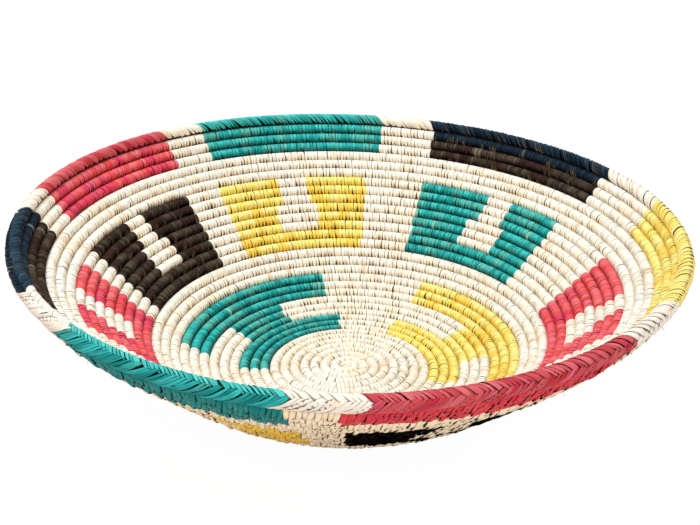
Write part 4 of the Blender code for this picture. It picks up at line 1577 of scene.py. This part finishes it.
@dataclass(frozen=True)
class RimBand(SubAssembly):
    """Seven dyed blocks below the rim, the ground between them, and the braid above.

    Each block has its ends below the rim and its ends in the braid.  Overlap is where
    the last block comes round again above the coil's end.
    """

    blocks: tuple[tuple[Dye, Pair, Pair], ...] = (
        (Dye.TEAL, (4.0, 41.0), (4.7, 40.3)),
        (Dye.NAVY, (54.5, 87.6), (53.8, 84.9)),
        (Dye.RED, (95.9, 133.7), (93.7, 132.4)),
        (Dye.TEAL, (142.6, 183.5), (141.3, 182.5)),
        (Dye.NAVY, (195.7, 239.6), (194.2, 240.8)),
        (Dye.YELLOW, (257.8, 300.8), (258.6, 300.8)),
        (Dye.RED, (314.0, 354.0), (314.0, 354.0)),
    )
    rows: tuple[int, ...] = (31, 32, 33)
    dark_rows: tuple[int, ...] = (31, 32)
    overlap: Pair = (-6.0, -3.2)

    def build(self) -> None:
        """Sew the blocks and their ground, and plait the braid."""
        ground: list[Span] = []
        plain: list[Span] = []
        rim_row = self.shop.form.rim_row
        braid = SewingSettings(strand_width=self.shop.chevron.period, width_low=0.97, width_high=1.04,
                               turn_jitter=2.5, floor_press=1.0)
        before = braid_before = self.blocks[-1][1][1] - ROUND
        for index, (dye, ends, braid_ends) in enumerate(self.blocks):
            name = f"{index + 1}_{dye.value}"
            node = f"rim_block_{name}"
            dark = self.dark_rows if dye is Dye.NAVY else ()
            spans = [Span(row, *ends) for row in self.rows if row not in dark]
            if ends[1] == self.shop.form.closing_end:
                spans += [Span(row, *self.overlap) for row in self.rows[1:]]
            self.shop.sew(f"{node}_wraps", spans, dye, [node])
            if dark:
                self.shop.sew(f"{node}_dark_wraps", [Span(row, *ends) for row in dark], Dye.BLACK, [node])
            plaited = Span(rim_row, *braid_ends)
            self.shop.sew(f"braid_{name}_strands", [plaited], dye, [f"braid_{name}"], braid)
            frayed = [Span(row, *ends) for row in self.rows] + [plaited]
            Frays(self.shop).build(f"rim_frays_{name}", frayed, dye, [node, f"braid_{name}"])
            past_red = max(before, self.overlap[1])
            ground += [Span(row, past_red, ends[0]) for row in self.rows[1:]]
            ground.append(Span(self.rows[0], before, ends[0]))
            plain.append(Span(rim_row, braid_before, braid_ends[0]))
            before, braid_before = ends[1], braid_ends[1]
        numbers = range(1, len(self.blocks) + 1)
        grounds, braids = [f"rim_ground_{n}" for n in numbers], [f"braid_{n}_natural" for n in numbers]
        self.shop.sew("rim_ground_wraps", ground, Dye.NATURAL, grounds)
        self.shop.sew("braid_natural_strands", plain, Dye.NATURAL, braids, braid)
        Frays(self.shop).build("rim_frays_natural", ground + plain, Dye.NATURAL, grounds + braids)


@dataclass(frozen=True)
class GrassBundle(SubAssembly):
    """The one continuous bundle of grass inside all the rows, and stems between the rows.

    Each piece has its radius, its place aside and its sink, in rows.
    """

    # Both pieces take the grass material, whose dark colour is painted shade.
    pieces: tuple[tuple[str, float, float, float], ...] = (
        ("grass_bundle", 0.40, 0.0, 0.0), ("grass_stems", 0.13, 0.5, 0.10))
    first_turn: float = 0.40
    last_turn: float = 30.0 + 354.0 / ROUND
    band_rows: tuple[int, ...] = (31, 32, 33)
    band_ends: Pair = (-6.0, 354.0)
    step: float = 7.0 * MM
    sides: int = 8

    def build(self) -> None:
        """Sweep the bundle along the coil, the band and the rim, and stems between the rows."""
        for name, share, aside, sink in self.pieces:
            spans = [Span(0, self.first_turn * ROUND, self.last_turn * ROUND, aside, sink)]
            spans += [Span(row, *self.band_ends, aside, sink) for row in self.band_rows]
            if not aside:
                spans.append(Span(self.shop.form.rim_row, *self.band_ends))
            piece = self.shop.guide(name, spans, 0.0)
            self.shop.bake_tree(piece, self.shop.core, {
                "Bundle Share": share, "Step": self.step, "Sides": self.sides,
                "Grass Material": self.shop.grass})
            self.shop.finish_piece(piece, "grass_bundle", ["rim_coil"])


@dataclass(frozen=True)
class Studio:
    """Camera, floor and soft light; a lamp has its place, its size and its power."""

    camera_place: Triple = (0.0, -0.5933, 0.3341)
    camera_pitch: float = 23.55
    camera_roll: float = 0.25
    camera_near: float = 0.01
    focal_pixels: float = 1066.0
    frame_width: float = 700.0
    sensor: float = 36.0
    centre_shift: float = 0.004
    key_lamp: tuple[Triple, float, float] = ((-0.35, 0.15, 1.3), 0.8, 11.6)
    front_lamp: tuple[Triple, float, float] = ((0.3, -1.3, 0.7), 0.9, 5.6)
    lamp_aim: Triple = (0.0, 0.0, 0.03)
    sky_strength: float = 0.54
    floor_half: float = 2.0
    floor_paper: float = 0.88
    floor_glow: float = 1.05
    floor_glow_share: float = 0.92

    def build(self) -> None:
        """Set up the camera, the lamps, the world and the floor."""
        self._camera()
        self._lamp("key_lamp", *self.key_lamp)
        self._lamp("front_lamp", *self.front_lamp)
        self._world()
        self._floor()

    def _camera(self) -> None:
        """The camera of the photograph."""
        data = bpy.data.cameras.new("camera")
        data.sensor_width = self.sensor
        data.lens = self.focal_pixels * self.sensor / self.frame_width
        data.shift_x = self.centre_shift
        data.clip_start = self.camera_near
        camera = stand("camera", data)
        tip = Matrix.Rotation(math.radians(90.0 - self.camera_pitch), 4, "X")
        roll = Matrix.Rotation(math.radians(self.camera_roll), 4, "Z")
        camera.matrix_world = Matrix.Translation(self.camera_place) @ tip @ roll
        bpy.context.scene.camera = camera

    def _lamp(self, name: str, place: Triple, size: float, power: float) -> None:
        """A square lamp that faces the bowl."""
        data = bpy.data.lights.new(name, "AREA")
        data.energy = power
        data.size = size
        way = Vector(self.lamp_aim) - Vector(place)
        facing = way.to_track_quat("-Z", "Y").to_matrix().to_4x4()
        stand(name, data).matrix_world = Matrix.Translation(place) @ facing

    def _world(self) -> None:
        """Even pale light, white to the camera and to mirrors."""
        world = bpy.data.worlds.new("studio")
        bpy.context.scene.world = world
        graph = Graph.of(world)
        strength = graph.rays() * (1.0 - self.sky_strength) + self.sky_strength
        light = graph.node("ShaderNodeBackground", {}, {"Color": WHITE, "Strength": strength})
        graph.add("ShaderNodeOutputWorld", {}, {"Surface": light})

    def _floor(self) -> None:
        """A plain white floor that keeps the bowl's soft shadow."""
        half = self.floor_half
        mesh = bpy.data.meshes.new("floor")
        corners = [(-half, -half, 0.0), (half, -half, 0.0), (half, half, 0.0), (-half, half, 0.0)]
        mesh.from_pydata(corners, [], [(0, 1, 2, 3)])
        material = bpy.data.materials.new("floor_paper")
        graph = Graph.of(material)
        paper = graph.node("ShaderNodeBsdfDiffuse", {}, {"Color": (*[self.floor_paper] * 3, 1.0)})
        glow = graph.node("ShaderNodeEmission", {}, {"Color": WHITE, "Strength": self.floor_glow})
        share = graph.rays() * self.floor_glow_share
        both = graph.node("ShaderNodeMixShader", {}, {0: share, 1: paper, 2: glow})
        graph.add("ShaderNodeOutputMaterial", {}, {"Surface": both})
        mesh.materials.append(material)
        stand("floor", mesh)


def main() -> None:
    """Build the bowl's looks, piece by piece."""
    logging.basicConfig(level=logging.INFO, format="%(message)s")
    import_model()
    bpy.context.scene.view_settings.view_transform = "Standard"
    Studio().build()
    shop = Workshop()
    for part in (NaturalCoils, InnerRing, WallRing, RimBand, GrassBundle):
        part(shop).build()
    shop.clear_shapes()
    LOG.info("pieces: %d, faces: %d", len(shop.made), sum(len(p.data.polygons) for p in shop.made))


if __name__ == "__main__":
    main()
